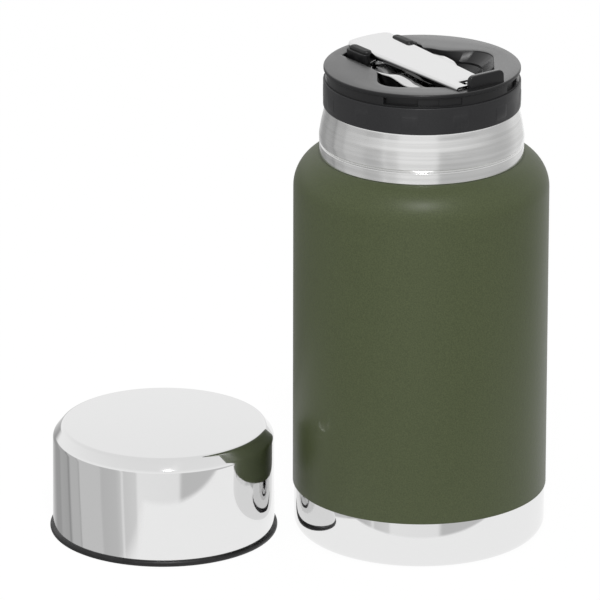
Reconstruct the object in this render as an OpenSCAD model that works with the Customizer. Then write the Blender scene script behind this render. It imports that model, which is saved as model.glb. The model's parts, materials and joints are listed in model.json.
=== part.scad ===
// Insulated food jar with a screw stopper, a folding spoon stowed in it, and a lift-off cap beside it.
// The origin is the centre of the jar's base on the table, +Z is up, and sizes are in millimetres.

/* [Jar] */
// Outside diameter of the painted body
body_d = 97.2; // [96:0.1:118]
// Height of the polished base cup, up to the paint's lower edge
base_h = 18.8; // [14:0.1:30]
// Height above the table at which the shoulder starts to curve in
shoulder_z = 138.1; // [100:0.1:180]
// Radius of the shoulder's curve
shoulder_r = 14; // [10:0.5:18]
// Steepest turn of the shoulder, in degrees from upright
shoulder_slope = 71; // [60:1:80]
// Wall of the outer shell
shell_wall = 0.7; // [0.5:0.1:1]
// How much smaller the base cup's radius is than the body's
base_step = 0.5; // [0.2:0.1:1]
// Radius of the base cup's lower edge
base_edge_r = 5; // [3:0.5:7]
// Depth of the recess in the base
base_recess = 1.6; // [1:0.1:3]
// Wall of the inner liner
liner_wall = 0.6; // [0.4:0.1:1]
// Vacuum gap between the liner and the outer shell
vacuum_gap = 3.2; // [2.5:0.1:5]
// Radius of the liner's bottom corner
liner_corner_r = 10; // [5:1:14]

/* [Neck] */
// Diameter of the bare band above the shoulder
neck_d = 77.6; // [70:0.1:80]
// Height of the bare band above the shoulder
neck_band_h = 4.9; // [3:0.1:8]
// Height of the rounded belly between the band and the thread
belly_h = 14.4; // [10:0.1:20]
// How far in the thread's root lies from the band
thread_inset = 4.8; // [4:0.1:6]
// Height of the thread, from the belly's cone to the mouth
thread_h = 4.1; // [4:0.1:8]
// Gap between the neck's wall and the liner behind the thread
neck_gap = 0.6; // [0.4:0.1:1]
// Rise of the stopper in one full turn
thread_lead = 16; // [12:0.5:18]
// Number of thread starts
thread_starts = 4; // [3:1:5]
// How far a thread rib stands out
rib_h = 1.1; // [0.9:0.1:1.2]

/* [Stopper] */
// Wall of the stopper's grip collar
collar_wall = 2.1; // [1.8:0.1:4]
// Height of the grip collar
collar_h = 10.1; // [10:0.1:14]
// How much smaller the top disc's radius is than the collar's
disc_inset = 0.4; // [0.2:0.1:1]
// Height of the top part above the collar
cover_h = 5.2; // [5:0.1:8]
// Thickness of the top disc at its edge
disc_edge = 1.4; // [1:0.1:2]
// Wall of the stopper's plastic pieces
plastic_wall = 1.2; // [1:0.1:1.6]
// Depth of the stopper's plug below the mouth
plug_depth = 11.9; // [11:0.1:18]
// Number of grip pads round the collar
grip_count = 12; // [6:1:24]
// Height of a grip pad
grip_h = 4.9; // [3:0.1:6]
// Length of the square well that the spoon lies in
well_w = 44; // [40:0.1:45]
// Radius of the well's corners
well_r = 8; // [4:0.5:12]
// Depth of the well
well_depth = 11.2; // [10.8:0.1:13]
// Width of the trough beside the handle
trough_w = 29.9; // [27:0.1:30.4]
// Height of the end tab above the disc
tab_h = 5; // [3:0.1:6]
// Width of the end tab
tab_w = 16.3; // [12:0.1:20]
// Thickness of the end tab
tab_t = 2; // [1.5:0.1:2.4]
// Height of the clips above the disc
clip_h = 3; // [2:0.1:4]

/* [Spoon] */
// Direction of the folded spoon, seen from above
spoon_angle = -53.5; // [-90:0.5:90]
// Distance of the spoon's middle line from the jar's axis
spoon_shift = -0.6; // [-2:0.1:2]
// Width of the handle at its free end
handle_w = 19.9; // [16:0.1:20]
// Width of the handle at its hinge end
handle_w_hinge = 14.4; // [13:0.1:15]
// Thickness of the spoon's sheet metal
sheet_t = 0.8; // [0.6:0.1:0.9]
// Depth of the handle's folded edges
flange_d = 2; // [1.5:0.1:2.1]
// Distance of the hinge pin from the end tab
pin_inset = 3.6; // [3.4:0.1:5]
// Diameter of the hinge pin
pin_d = 1.4; // [1.2:0.1:1.6]
// Distance of the bowl's tip from the disc's edge
bowl_tip_inset = 18.3; // [17.3:0.1:26]
// Half width of the spoon's bowl before its egg shape widens it
bowl_half_w = 14.8; // [12:0.1:15]
// Depth of the spoon's bowl
bowl_depth = 8.6; // [6:0.1:9]
// Slope of the stowed handle, up towards its free end
handle_tilt = 1.25; // [0.8:0.05:1.6]

/* [Cap] */
// Gap between the jar's side and the cap that stands beside it
cap_gap = 5.9; // [4:0.1:60]
// Distance of the cap's centre in front of the jar's axis
cap_front = 2.1; // [0:0.1:20]
// How much larger the cap's radius is than the collar's
cap_room = 4.6; // [4.4:0.05:9]
// Height of the cap
cap_h = 42.4; // [42.2:0.1:60]
// Width of the sloped edge round the cap's top
cap_slope_w = 3.5; // [2:0.1:6]
// Height of the sloped edge round the cap's top
cap_slope_h = 4.4; // [2:0.1:6]
// Thickness of the rubber ring round the cap's mouth
ring_t = 2.6; // [2.4:0.1:3.4]
// Number of lugs inside the cap
lug_count = 4; // [3:1:6]

/* [Clearances] */
// Gap between pieces that move apart
move_gap = 0.3; // [0.3:0.05:0.4]
// Gap between fixed pieces that slide together
fit_gap = 0.05; // [0.02:0.01:0.08]
// Radial gap round the hinge pin
pin_gap = 0.05; // [0.02:0.01:0.08]
// Gap between the plug and the mouth
plug_gap = 0.5; // [0.4:0.1:0.8]

/* [Hidden] */
$fn = 96;
eps = 0.01;
far = 60;

// Jar: radii and heights
body_r = body_d / 2;
shell_in_r = body_r - shell_wall;
cup_r = body_r - base_step;
cup_in_r = cup_r - shell_wall;
neck_r = neck_d / 2;
shoulder_top_r = neck_r + 0.6;
shoulder_in = body_r - shoulder_top_r;
shoulder_arc_in = shoulder_r * (1 - cos(shoulder_slope));
shoulder_turn = shoulder_in < shoulder_arc_in ? acos(1 - shoulder_in / shoulder_r) : shoulder_slope;
shoulder_flat = max(0, shoulder_in - shoulder_arc_in);
neck_z = shoulder_z + shoulder_r * sin(shoulder_turn) + shoulder_flat / tan(shoulder_turn);
lip_h = 3;
vacuum_base_z = base_h / 2;
liner_out_r = shell_in_r - vacuum_gap;
liner_in_r = liner_out_r - liner_wall;
liner_floor_z = base_h + 0.8;
shield_t = 0.3;
getter_r = 9;
getter_h = 2.2;
seal_r = 4;

// Neck: the profile's heights, from the shoulder up to the mouth
thread_root_r = neck_r - thread_inset;
thread_in_r = thread_root_r - liner_wall;
mouth_r = thread_in_r - neck_gap - liner_wall;
groove_z = neck_z + neck_band_h;
belly_top_z = groove_z + belly_h;
cone_h = 2.3;
cone_z = belly_top_z + cone_h;
neck_top_z = cone_z + thread_h;
rim_z = neck_top_z + liner_wall;
belly_r = neck_r + 0.1;
belly_top_r = neck_r - 2;
rib_arc = 40;
rib_base = 1.6;
rib_crest = 0.7;
rib_start_z = neck_top_z - rib_base / 2 - thread_lead * rib_arc / 360;
rib_steps = 8;
rib_drop = 1.6;
lug_arc = [15, 40];

// Stopper: heights, from the collar's lower edge up to the disc
collar_z = belly_top_z + move_gap;
collar_top_z = collar_z + collar_h;
collar_in_r = thread_root_r + rib_h + plug_gap;
collar_r = collar_in_r + collar_wall;
collar_mouth_r = max(belly_top_r + 0.4, collar_in_r);
disc_r = collar_r - disc_inset;
disc_z = collar_top_z + cover_h;
band_r = disc_r - 0.6;
flange_z = collar_top_z - 0.9;
plug_flange_z = flange_z - 0.8;
gasket_z = rim_z + move_gap;
gasket_top_z = plug_flange_z - move_gap;
gasket_r = thread_root_r + 0.2;
plug_r = mouth_r - plug_gap;
plug_in_r = plug_r - plastic_wall;
plug_z = rim_z - plug_depth;
well_floor_z = disc_z - well_depth;
well_max_r = plug_in_r - plastic_wall - move_gap;
well_shift = [6.9, 1.1];
trough_shift = -2.5;
trough_from_s = -10;
trough_end_s = 6.1 - disc_r;
trough_corner_r = 5;
tab_shift = 4.2;
tab_corner_r = 2.5;
recess_turns = [0, 84, 180, 264];
recess_r = disc_r - 1.4;
deep_recess_r = disc_r - 2.5;
recess_h = cover_h - disc_edge - 1;
recess_arc = [-24, 23];
deep_recess_arc = [-24, -3.5];
grip_out = 0.25;
grip_turn = -8;
grip_arc = 9;

// Spoon: the handle's sizes are measured from the pin's axis
pin_r = pin_d / 2;
eye_r = pin_r + 0.7;
ear_r = eye_r + 0.2;
tab_s = disc_r - 4.7;
pin_s = tab_s - pin_inset;
handle_end_s = tab_s - move_gap;
plate_low = eye_r + move_gap;
hinge_top = disc_z + 0.3;
pin_z = hinge_top - sheet_t - plate_low;
trough_z = pin_z - ear_r - move_gap;
free_end_r = disc_r - 2.3;
free_corner_r = 3;
handle_half = handle_w / 2;
hinge_half = handle_w_hinge / 2;
tongue_half = hinge_half - sheet_t - move_gap;
window_half = 3.8;
window_s = [27.2, 31.2];
clip_s = 14.3 - disc_r;
clip_l = 12;
clip_w = 4.4;
bowl_end_gap = 4;
bowl_tip_s = bowl_tip_inset - disc_r;
bowl_l = pin_s - bowl_end_gap - bowl_tip_s;
bowl_mid_s = bowl_tip_s + bowl_l / 2;
bowl_skew = 0.3;
bowl_rim_z = pin_z + 0.1;
bowl_gap = 0.6;
bowl_sides = 40;
bowl_rings = 7;

// Cap
cap_r = collar_r + cap_room;
cap_taper = 0.25;
cap_wall = 0.7;
cap_top_r = cap_r - cap_taper;
ring_r = ring_t / 2;
ring_mid_r = cap_r + 0.1;
ring_mid_z = ring_r - 0.2;
cap_distance = body_r + cap_gap + ring_mid_r + ring_r;
cap_left = sqrt(pow(cap_distance, 2) - pow(cap_front, 2));
ring_grip = ring_mid_z;
sleeve_r = cap_top_r - cap_wall - fit_gap;
sleeve_z = ring_t + 0.4;
sleeve_top_z = cap_h - cap_slope_h - 1;
closed_cap_z = neck_z - 1.3;
lug_z = collar_top_z + 0.8 - closed_cap_z;
lug_in_r = disc_r - 0.4;

// The shoulder's outline at a distance in from the outer surface, from the wall to the neck
function shoulder(inset) = [for (i = [0:12]) let (a = shoulder_turn * i / 12)
    [body_r - shoulder_r + (shoulder_r - inset) * cos(a), shoulder_z + (shoulder_r - inset) * sin(a)]];

// A list of points in the opposite order
function reversed(list) = [for (i = [len(list) - 1:-1:0]) list[i]];

// Half width of the handle at a distance along the spoon
function handle_half_at(s) =
    handle_half + (hinge_half - handle_half) * (s + free_end_r) / (handle_end_s + free_end_r);

// Egg-shaped outline of the bowl, made larger by grow, at a share of its full size
function bowl_edge(grow, share = 1) = [for (i = [0:bowl_sides - 1]) let (a = 360 * i / bowl_sides)
    [bowl_mid_s + (bowl_l / 2 + grow) * share * cos(a),
     spoon_shift + (bowl_half_w * (1 - bowl_skew * cos(a)) + grow) * share * sin(a)]];

// One ring of the bowl's surface: the wall curves in as it goes down
function bowl_ring(inset, depth, k) = let (a = 90 * k / bowl_rings)
    [for (p = bowl_edge(-inset, cos(a))) [p[0], p[1], bowl_rim_z - depth * sin(a)]];

module outer_shell() {
    color("darkolivegreen")
    rotate_extrude() polygon(concat(
        [[cup_in_r - fit_gap, vacuum_base_z - 1], [cup_in_r - fit_gap, base_h], [body_r, base_h]],
        shoulder(0), [[shoulder_top_r, neck_z], [shoulder_top_r - shell_wall, neck_z]],
        reversed(shoulder(shell_wall)),
        [[shell_in_r, base_h + shell_wall], [cup_in_r - shell_wall, base_h],
         [cup_in_r - shell_wall, vacuum_base_z - 1]]));
}

module base_cup() {
    step_r = cup_r - base_edge_r - 3;
    color("silver")
    rotate_extrude() difference() {
        union() {
            translate([0, base_edge_r]) square([cup_r, base_h - base_edge_r]);
            square([cup_r - base_edge_r, base_edge_r + eps]);
            intersection() {
                translate([cup_r - base_edge_r, base_edge_r]) circle(base_edge_r);
                square(far);
            }
        }
        translate([0, base_edge_r + shell_wall]) square([cup_in_r, base_h]);
        translate([0, base_recess + shell_wall]) square([cup_in_r - base_edge_r, base_h]);
        intersection() {
            translate([cup_r - base_edge_r, base_edge_r + shell_wall]) circle(base_edge_r - shell_wall);
            square(far);
        }
        square([step_r, base_recess]);
    }
}

// Four-sided rib along a helix: root and crest are radii, arc is its start and end, drop moves it down
module helix_rib(root, crest, arc, drop) {
    section = [[root, -rib_base / 2], [crest, -rib_crest / 2], [crest, rib_crest / 2], [root, rib_base / 2]];
    points = [for (i = [0:rib_steps]) let (a = arc[0] + (arc[1] - arc[0]) * i / rib_steps)
        for (p = section) [p[0] * cos(a), p[0] * sin(a), rib_start_z - drop + thread_lead * a / 360 + p[1]]];
    sides = [for (i = [0:rib_steps - 1]) for (j = [0:3]) let (k = 4 * i, n = (j + 1) % 4)
        for (t = [[k + j, k + 4 + n, k + n], [k + j, k + 4 + j, k + 4 + n]]) t];
    last = 4 * rib_steps;
    ends = [[0, 1, 2], [0, 2, 3], [last, last + 2, last + 1], [last, last + 3, last + 2]];
    flip = root < crest;
    polyhedron(points, [for (t = concat(sides, ends)) flip ? [t[0], t[2], t[1]] : t]);
}

module neck() {
    lip_r = shoulder_top_r - shell_wall - fit_gap;
    color("lightgray") {
        rotate_extrude() polygon([
            [lip_r, neck_z - lip_h], [lip_r, neck_z],
            [neck_r, neck_z + 0.2], [neck_r, groove_z - 0.3], [neck_r - 0.6, groove_z],
            [belly_r - 0.1, groove_z + 0.6], [belly_r, groove_z + 2.2], [belly_r - 0.1, groove_z + 4.4],
            [belly_r - 0.6, groove_z + 6.8], [belly_r - 1, groove_z + 9.2],
            [belly_top_r, groove_z + 12.4], [belly_top_r, belly_top_z], [thread_root_r, cone_z],
            [thread_root_r, neck_top_z], [thread_in_r, neck_top_z], [thread_in_r, cone_z - 0.3],
            [belly_top_r - 0.7, belly_top_z - 0.3], [belly_top_r - 0.7, groove_z + 12],
            [belly_r - 1.8, groove_z + 9], [belly_r - 0.9, groove_z + 2.2], [neck_r - 1.4, groove_z],
            [neck_r - 0.9, neck_z], [shoulder_top_r - 2 * shell_wall, neck_z - 0.2],
            [shoulder_top_r - 2 * shell_wall, neck_z - lip_h]]);
        for (k = [0:thread_starts - 1]) rotate(360 * k / thread_starts)
            helix_rib(thread_root_r - liner_wall / 2, thread_root_r + rib_h, [0, rib_arc], 0);
    }
}

// Outline of the liner from its floor to the mouth, moved out by grow
module liner_outline(grow) {
    bend_r = shoulder_r - 2;
    bend_z = shoulder_z - 4;
    union() {
        translate([0, liner_floor_z - grow]) square([liner_in_r - liner_corner_r, far]);
        translate([0, liner_floor_z + liner_corner_r])
            square([liner_in_r + grow, bend_z - liner_floor_z - liner_corner_r]);
        intersection() {
            translate([liner_in_r - liner_corner_r, liner_floor_z + liner_corner_r])
                circle(liner_corner_r + grow);
            square([far, bend_z]);
        }
        polygon(concat([[0, bend_z - eps], [liner_in_r + grow, bend_z - eps]],
            [for (i = [0:8]) let (a = 80 * i / 8)
                [max(mouth_r + grow, liner_in_r - bend_r + (bend_r + grow) * cos(a)),
                 bend_z + (bend_r + grow) * sin(a)]],
            [[mouth_r + grow, bend_z + bend_r + 3], [mouth_r + grow, neck_top_z], [0, neck_top_z]]));
    }
}

module inner_liner() {
    color("gainsboro")
    rotate_extrude() difference() {
        union() {
            liner_outline(liner_wall);
            translate([0, neck_top_z]) square([thread_root_r, liner_wall]);
        }
        liner_outline(0);
        translate([0, neck_top_z - eps]) square([mouth_r, 2 * liner_wall]);
    }
}

module heat_shield() {
    low_z = liner_floor_z + liner_corner_r;
    color("peru")
    translate([0, 0, low_z]) difference() {
        cylinder(r = liner_out_r + fit_gap + shield_t, h = shoulder_z - low_z - 4);
        translate([0, 0, -1]) cylinder(r = liner_out_r + fit_gap, h = shoulder_z);
    }
}

module vacuum_base() {
    rim_r = cup_in_r - shell_wall - 2 * fit_gap;
    color("gray") difference() {
        union() {
            translate([0, 0, vacuum_base_z - shell_wall]) cylinder(r = rim_r, h = shell_wall);
            difference() {
                translate([0, 0, vacuum_base_z - eps]) cylinder(r = rim_r, h = 3);
                translate([0, 0, vacuum_base_z - 1]) cylinder(r = rim_r - shell_wall, h = 5);
            }
        }
        translate([0, 0, vacuum_base_z - 2]) cylinder(r = seal_r / 2, h = 4);
    }
}

module vacuum_seal() {
    color("dimgray") {
        translate([0, 0, vacuum_base_z - shell_wall - 1]) cylinder(r = seal_r, h = 1);
        translate([0, 0, vacuum_base_z - shell_wall - eps]) cylinder(r = seal_r / 2 - fit_gap, h = shell_wall);
    }
}

module getter() {
    color("slategray")
    translate([getter_r, 0, liner_floor_z - liner_wall - getter_h]) cylinder(r = getter_r, h = getter_h);
}

module stopper_gasket() {
    color("whitesmoke")
    translate([0, 0, gasket_z]) difference() {
        cylinder(r = gasket_r, h = gasket_top_z - gasket_z);
        translate([0, 0, -1]) cylinder(r = plug_r + move_gap, h = 5);
    }
}

module stopper_plug() {
    edge_r = 2;
    color("black")
    rotate_extrude() difference() {
        union() {
            translate([0, plug_z + edge_r]) square([plug_r, flange_z - plug_z - edge_r]);
            translate([0, plug_z]) square([plug_r - edge_r, edge_r + eps]);
            intersection() {
                translate([plug_r - edge_r, plug_z + edge_r]) circle(edge_r);
                square([far, far * 4]);
            }
            translate([0, plug_flange_z]) square([collar_in_r - fit_gap, flange_z - plug_flange_z]);
        }
        translate([0, plug_z + plastic_wall]) square([plug_in_r, far]);
    }
}

module stopper_foam() {
    low_z = plug_z + plastic_wall;
    color("white")
    translate([0, 0, low_z]) cylinder(r = plug_in_r - fit_gap, h = well_floor_z - plastic_wall - low_z);
}

// Part of a ring between two radii, from one angle to another
module ring_part(r1, r2, h, from, to) {
    rotate(from) rotate_extrude(angle = to - from) translate([r1, 0]) square([r2 - r1, h]);
}

module stopper_collar() {
    color("black") {
        difference() {
            translate([0, 0, collar_z]) cylinder(r = collar_r, h = collar_h);
            translate([0, 0, collar_z - eps])
                cylinder(r1 = collar_mouth_r, r2 = collar_in_r, h = cone_h - 0.4);
            translate([0, 0, collar_z]) cylinder(r = collar_in_r, h = flange_z - collar_z);
            translate([0, 0, collar_z]) cylinder(r = plug_in_r, h = far);
        }
        for (k = [0:grip_count - 1])
            translate([0, 0, collar_z + 1.7])
                ring_part(collar_r - 0.5, collar_r + grip_out, grip_h,
                    360 * k / grip_count + grip_turn - 90 - grip_arc / 2,
                    360 * k / grip_count + grip_turn - 90 + grip_arc / 2);
        for (k = [0:thread_starts - 1]) rotate(360 * k / thread_starts)
            helix_rib(collar_in_r + 0.4, thread_root_r + plug_gap, lug_arc, rib_drop);
    }
}

// Square with round corners, centred on the origin
module round_square(w, h, r) {
    square([w - 2 * r, h], center = true);
    square([w, h - 2 * r], center = true);
    for (x = [-1, 1]) for (y = [-1, 1]) translate([x * (w / 2 - r), y * (h / 2 - r)]) circle(r);
}

// Outline of the well in the spoon's frame, made larger by grow
module well_outline(grow) {
    side = well_w + 2 * grow;
    intersection() {
        translate(well_shift) rotate(-spoon_angle) round_square(side, side, well_r + grow);
        circle(well_max_r + grow);
    }
    intersection() {
        polygon(bowl_edge(bowl_gap + grow));
        circle(well_max_r + grow);
    }
}

// Outline of the channel under the handle
module channel_outline() {
    side = 2 * move_gap;
    translate([0, spoon_shift])
    polygon([[trough_end_s + 1, -handle_half_at(trough_end_s) - side], [tab_s, -hinge_half - side],
             [tab_s, hinge_half + side], [trough_end_s + 1, handle_half_at(trough_end_s) + side]]);
}

// Outline of the wide trough beside the clips
module trough_outline() {
    length = trough_from_s - trough_end_s;
    translate([trough_end_s + length / 2, trough_shift]) round_square(length, trough_w, trough_corner_r);
}

// Outline of one clip; side is 1 or -1
module clip_outline(side, grow) {
    mid = spoon_shift + side * (handle_half_at(clip_s - clip_l / 2) + move_gap + clip_w / 2);
    for (x = [-1, 1]) translate([clip_s + x * (clip_l - clip_w) / 2, mid]) circle(clip_w / 2 + grow);
    translate([clip_s, mid]) square([clip_l - clip_w, clip_w + 2 * grow], center = true);
}

module end_tab() {
    root = 2;
    mid_z = disc_z + (tab_h - root) / 2;
    translate([tab_s, tab_shift, mid_z]) rotate([90, 0, 90]) linear_extrude(tab_t)
        round_square(tab_w, tab_h + root, tab_corner_r);
}

module stopper_cover() {
    color("dimgray") rotate(spoon_angle) {
        difference() {
            union() {
                translate([0, 0, collar_top_z]) cylinder(r = band_r, h = cover_h - disc_edge + eps);
                translate([0, 0, disc_z - disc_edge]) cylinder(r = disc_r, h = disc_edge - 0.4);
                translate([0, 0, disc_z - 0.4]) cylinder(r1 = disc_r, r2 = disc_r - 0.5, h = 0.4);
                translate([0, 0, well_floor_z - plastic_wall])
                    linear_extrude(collar_top_z - well_floor_z + 2 * plastic_wall) well_outline(plastic_wall);
            }
            translate([0, 0, well_floor_z]) linear_extrude(far) well_outline(0);
            translate([0, 0, trough_z]) linear_extrude(far) channel_outline();
            translate([0, 0, trough_z]) linear_extrude(far) trough_outline();
            translate([0, 0, trough_z]) linear_extrude(far) clip_outline(1, fit_gap);
            translate([0, 0, trough_z]) linear_extrude(far) clip_outline(-1, fit_gap);
            for (a = recess_turns) rotate(a - 90 - spoon_angle) translate([0, 0, collar_top_z + 0.5]) {
                ring_part(recess_r, disc_r + 1, recess_h, recess_arc[0], recess_arc[1]);
                ring_part(deep_recess_r, disc_r + 1, recess_h, deep_recess_arc[0], deep_recess_arc[1]);
            }
        }
        end_tab();
    }
}

module spoon_clips() {
    neck_h = 1.2;
    color("black") rotate(spoon_angle) for (side = [-1, 1]) {
        translate([0, 0, trough_z]) linear_extrude(disc_z - trough_z + clip_h - neck_h) clip_outline(side, 0);
        translate([0, 0, disc_z + clip_h - neck_h - eps]) linear_extrude(neck_h) clip_outline(side, -0.9);
    }
}

module bowl_shell() {
    n = bowl_sides;
    rows = bowl_rings;
    outer = [for (k = [0:rows - 1]) for (p = bowl_ring(0, bowl_depth, k)) p];
    inner = [for (k = [0:rows - 1]) for (p = bowl_ring(sheet_t, bowl_depth - sheet_t, k)) p];
    low = [bowl_mid_s, spoon_shift, bowl_rim_z - bowl_depth];
    high = [bowl_mid_s, spoon_shift, bowl_rim_z - bowl_depth + sheet_t];
    m = rows * n;
    faces = concat(
        [for (k = [0:rows - 2]) for (i = [0:n - 1]) let (j = (i + 1) % n, a = k * n, b = a + n)
            for (t = [[a + i, b + j, a + j], [a + i, b + i, b + j]]) t],
        [for (k = [0:rows - 2]) for (i = [0:n - 1]) let (j = (i + 1) % n, a = m + k * n, b = a + n)
            for (t = [[a + i, a + j, b + j], [a + i, b + j, b + i]]) t],
        [for (i = [0:n - 1]) let (j = (i + 1) % n) for (t = [[i, j, m + j], [i, m + j, m + i]]) t],
        [for (i = [0:n - 1]) let (j = (i + 1) % n, a = m - n) [a + i, 2 * m, a + j]],
        [for (i = [0:n - 1]) let (j = (i + 1) % n, a = 2 * m - n) [a + i, a + j, 2 * m + 1]]);
    polyhedron(concat(outer, inner, [low, high]), [for (f = faces) [f[0], f[2], f[1]]]);
}

module spoon_bowl() {
    tongue_s = bowl_mid_s + bowl_l / 2 - 2.6;
    color("silver") rotate(spoon_angle) {
        difference() {
            union() {
                bowl_shell();
                translate([tongue_s, spoon_shift - tongue_half, pin_z - sheet_t / 2])
                    cube([pin_s - tongue_s, 2 * tongue_half, sheet_t]);
                translate([pin_s, spoon_shift + tongue_half, pin_z]) rotate([90, 0, 0])
                    cylinder(r = eye_r, h = 2 * tongue_half);
            }
            translate([pin_s, spoon_shift + tongue_half + 1, pin_z]) rotate([90, 0, 0])
                cylinder(r = pin_r + fit_gap, h = 2 * tongue_half + 2);
        }
    }
}

module spoon_pin() {
    color("gray") rotate(spoon_angle)
        translate([pin_s, spoon_shift + hinge_half, pin_z]) rotate([90, 0, 0])
            cylinder(r = pin_r, h = 2 * hinge_half);
}

// Outline of the handle, made narrower by inset; its free end is an arc about the jar's axis
module handle_outline(inset) {
    corner_n = handle_half_at(-free_end_r) - free_corner_r;
    function corner_s(side) =
        -sqrt(pow(free_end_r - free_corner_r, 2) - pow(side * corner_n + spoon_shift, 2));
    near_s = corner_s(-1);
    far_s = corner_s(1);
    polygon([[near_s, -handle_half_at(near_s) + inset], [handle_end_s, -hinge_half + inset],
             [handle_end_s, hinge_half - inset], [far_s, handle_half_at(far_s) - inset]]);
    intersection() {
        translate([0, -spoon_shift]) circle(free_end_r);
        translate([-far, -corner_n]) square([far + max(near_s, far_s) + eps, 2 * corner_n]);
    }
    translate([near_s, -corner_n]) circle(free_corner_r);
    translate([far_s, corner_n]) circle(free_corner_r);
}

module spoon_handle() {
    flange_from = trough_end_s + 1.2;
    color("gainsboro") rotate(spoon_angle) translate([pin_s, spoon_shift, pin_z]) rotate([0, handle_tilt, 0])
    difference() {
        union() {
            translate([-pin_s, 0, plate_low]) linear_extrude(sheet_t) handle_outline(0);
            translate([-pin_s, 0, plate_low + sheet_t - flange_d]) linear_extrude(flange_d - eps)
                difference() {
                    intersection() {
                        handle_outline(0);
                        translate([flange_from, -far]) square([pin_s - flange_from, 2 * far]);
                    }
                    polygon([[flange_from - 1, -handle_half_at(flange_from) + sheet_t],
                             [far, -hinge_half + sheet_t], [far, hinge_half - sheet_t],
                             [flange_from - 1, handle_half_at(flange_from) - sheet_t]]);
                }
            for (side = [-1, 1]) translate([0, side * (hinge_half - sheet_t / 2), 0]) {
                rotate([90, 0, 0]) cylinder(r = ear_r, h = sheet_t, center = true);
                translate([0, 0, (plate_low + eps) / 2])
                    cube([2 * ear_r, sheet_t, plate_low + eps], center = true);
            }
        }
        rotate([90, 0, 0]) cylinder(r = pin_r + pin_gap, h = far, center = true);
        translate([window_s[0] - pin_s, -window_half, plate_low - 1])
            cube([window_s[1] - window_s[0], 2 * window_half, 4]);
    }
}

// Places the cap's pieces where the cap stands
module at_cap() {
    translate([-cap_left, -cap_front, 0]) children();
}

// Outline of the cap's shell at a distance in from its outer surface
module cap_outline(inset) {
    slope = atan(cap_slope_h / cap_slope_w) / 2;
    polygon([[0, 0], [cap_r - inset, 0], [cap_top_r - inset, cap_h - cap_slope_h - inset * tan(45 - slope) ],
             [cap_top_r - cap_slope_w - inset * tan(slope), cap_h - inset], [0, cap_h - inset]]);
}

module cap_shell() {
    color("silver") at_cap() rotate_extrude() difference() {
        intersection() {
            cap_outline(0);
            translate([0, ring_grip]) square(2 * far);
        }
        cap_outline(cap_wall);
    }
}

module cap_sleeve() {
    color("black") at_cap() {
        difference() {
            translate([0, 0, sleeve_z]) cylinder(r = sleeve_r, h = sleeve_top_z - sleeve_z);
            translate([0, 0, sleeve_z - 1]) cylinder(r = sleeve_r - plastic_wall, h = far);
        }
        for (k = [0:lug_count - 1])
            translate([0, 0, lug_z]) ring_part(lug_in_r, sleeve_r - plastic_wall / 2, 1.6,
                360 * k / lug_count - 10, 360 * k / lug_count + 10);
    }
}

module cap_ring() {
    color("black") at_cap() rotate_extrude() difference() {
        intersection() {
            translate([ring_mid_r, ring_mid_z]) circle(ring_r);
            square(far);
        }
        translate([cap_r - cap_wall - fit_gap, ring_grip - fit_gap])
            square([cap_wall + 2 * fit_gap, far]);
    }
}

outer_shell();
base_cup();
neck();
inner_liner();
heat_shield();
vacuum_base();
vacuum_seal();
getter();
stopper_gasket();
stopper_plug();
stopper_foam();
stopper_collar();
stopper_cover();
spoon_clips();
spoon_bowl();
spoon_pin();
spoon_handle();
cap_shell();
cap_sleeve();
cap_ring();
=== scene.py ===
"""The looks of an insulated food jar, its screw stopper with a folding spoon, and its cap.

Lengths inside the shape functions are millimetres in the jar's own frame: +Z is up, the origin is the
centre of the base, and the photograph's camera looks along +Y. Meshes are stored in metres.
"""
import json
from types import SimpleNamespace

import bpy
import numpy as np
from mathutils import Matrix, Vector


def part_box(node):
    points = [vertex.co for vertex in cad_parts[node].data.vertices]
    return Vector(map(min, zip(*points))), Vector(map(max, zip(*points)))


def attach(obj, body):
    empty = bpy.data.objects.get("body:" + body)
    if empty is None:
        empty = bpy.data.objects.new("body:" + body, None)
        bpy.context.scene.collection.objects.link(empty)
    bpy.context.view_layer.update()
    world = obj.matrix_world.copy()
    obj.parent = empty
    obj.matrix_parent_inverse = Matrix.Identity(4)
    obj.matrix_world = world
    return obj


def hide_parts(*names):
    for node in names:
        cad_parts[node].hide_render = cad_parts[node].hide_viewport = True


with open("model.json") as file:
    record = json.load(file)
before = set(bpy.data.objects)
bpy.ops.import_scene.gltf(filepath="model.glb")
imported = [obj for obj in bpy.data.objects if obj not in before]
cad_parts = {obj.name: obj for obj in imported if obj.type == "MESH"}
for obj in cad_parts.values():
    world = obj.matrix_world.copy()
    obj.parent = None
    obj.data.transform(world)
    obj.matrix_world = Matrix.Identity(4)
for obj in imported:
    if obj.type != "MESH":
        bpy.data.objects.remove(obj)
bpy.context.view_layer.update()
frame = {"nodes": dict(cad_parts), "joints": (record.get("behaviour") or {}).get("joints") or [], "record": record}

bl_info = {
    "name": "Insulated food jar",
    "version": (1, 0, 0),
    "blender": (4, 5, 0),
    "location": "View3D > Sidebar > Food jar",
    "description": "Builds the finished pieces of an insulated food jar round its packed frame",
    "category": "Add Mesh",
}

MM = 0.001
CHORD = 0.006
SHARP_ANGLE = np.radians(35)

# how many points go round each piece
ROUND_SIDES = 384
HIDDEN_SIDES = 256
NECK_SIDES = 540
COLLAR_SIDES = 720
PLUG_SIDES = 288
SLEEVE_SIDES = 360
COVER_SIDES = 1320
BOWL_SIDES = 180
EAR_SIDES = 64
PIN_SIDES = 48

RECORD = frame["record"]
BODY_OF = {node: body for body, nodes in RECORD["behaviour"]["bodies"].items() for node in nodes}
HINGE = next(j for j in frame["joints"] if j["name"] == "handle_unfold")


# ---------------------------------------------------------------- sizes


def low(node):
    """Lowest corner of a node's box, in millimetres."""
    return np.array(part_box(node)[0]) / MM


def high(node):
    """Highest corner of a node's box, in millimetres."""
    return np.array(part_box(node)[1]) / MM


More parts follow.
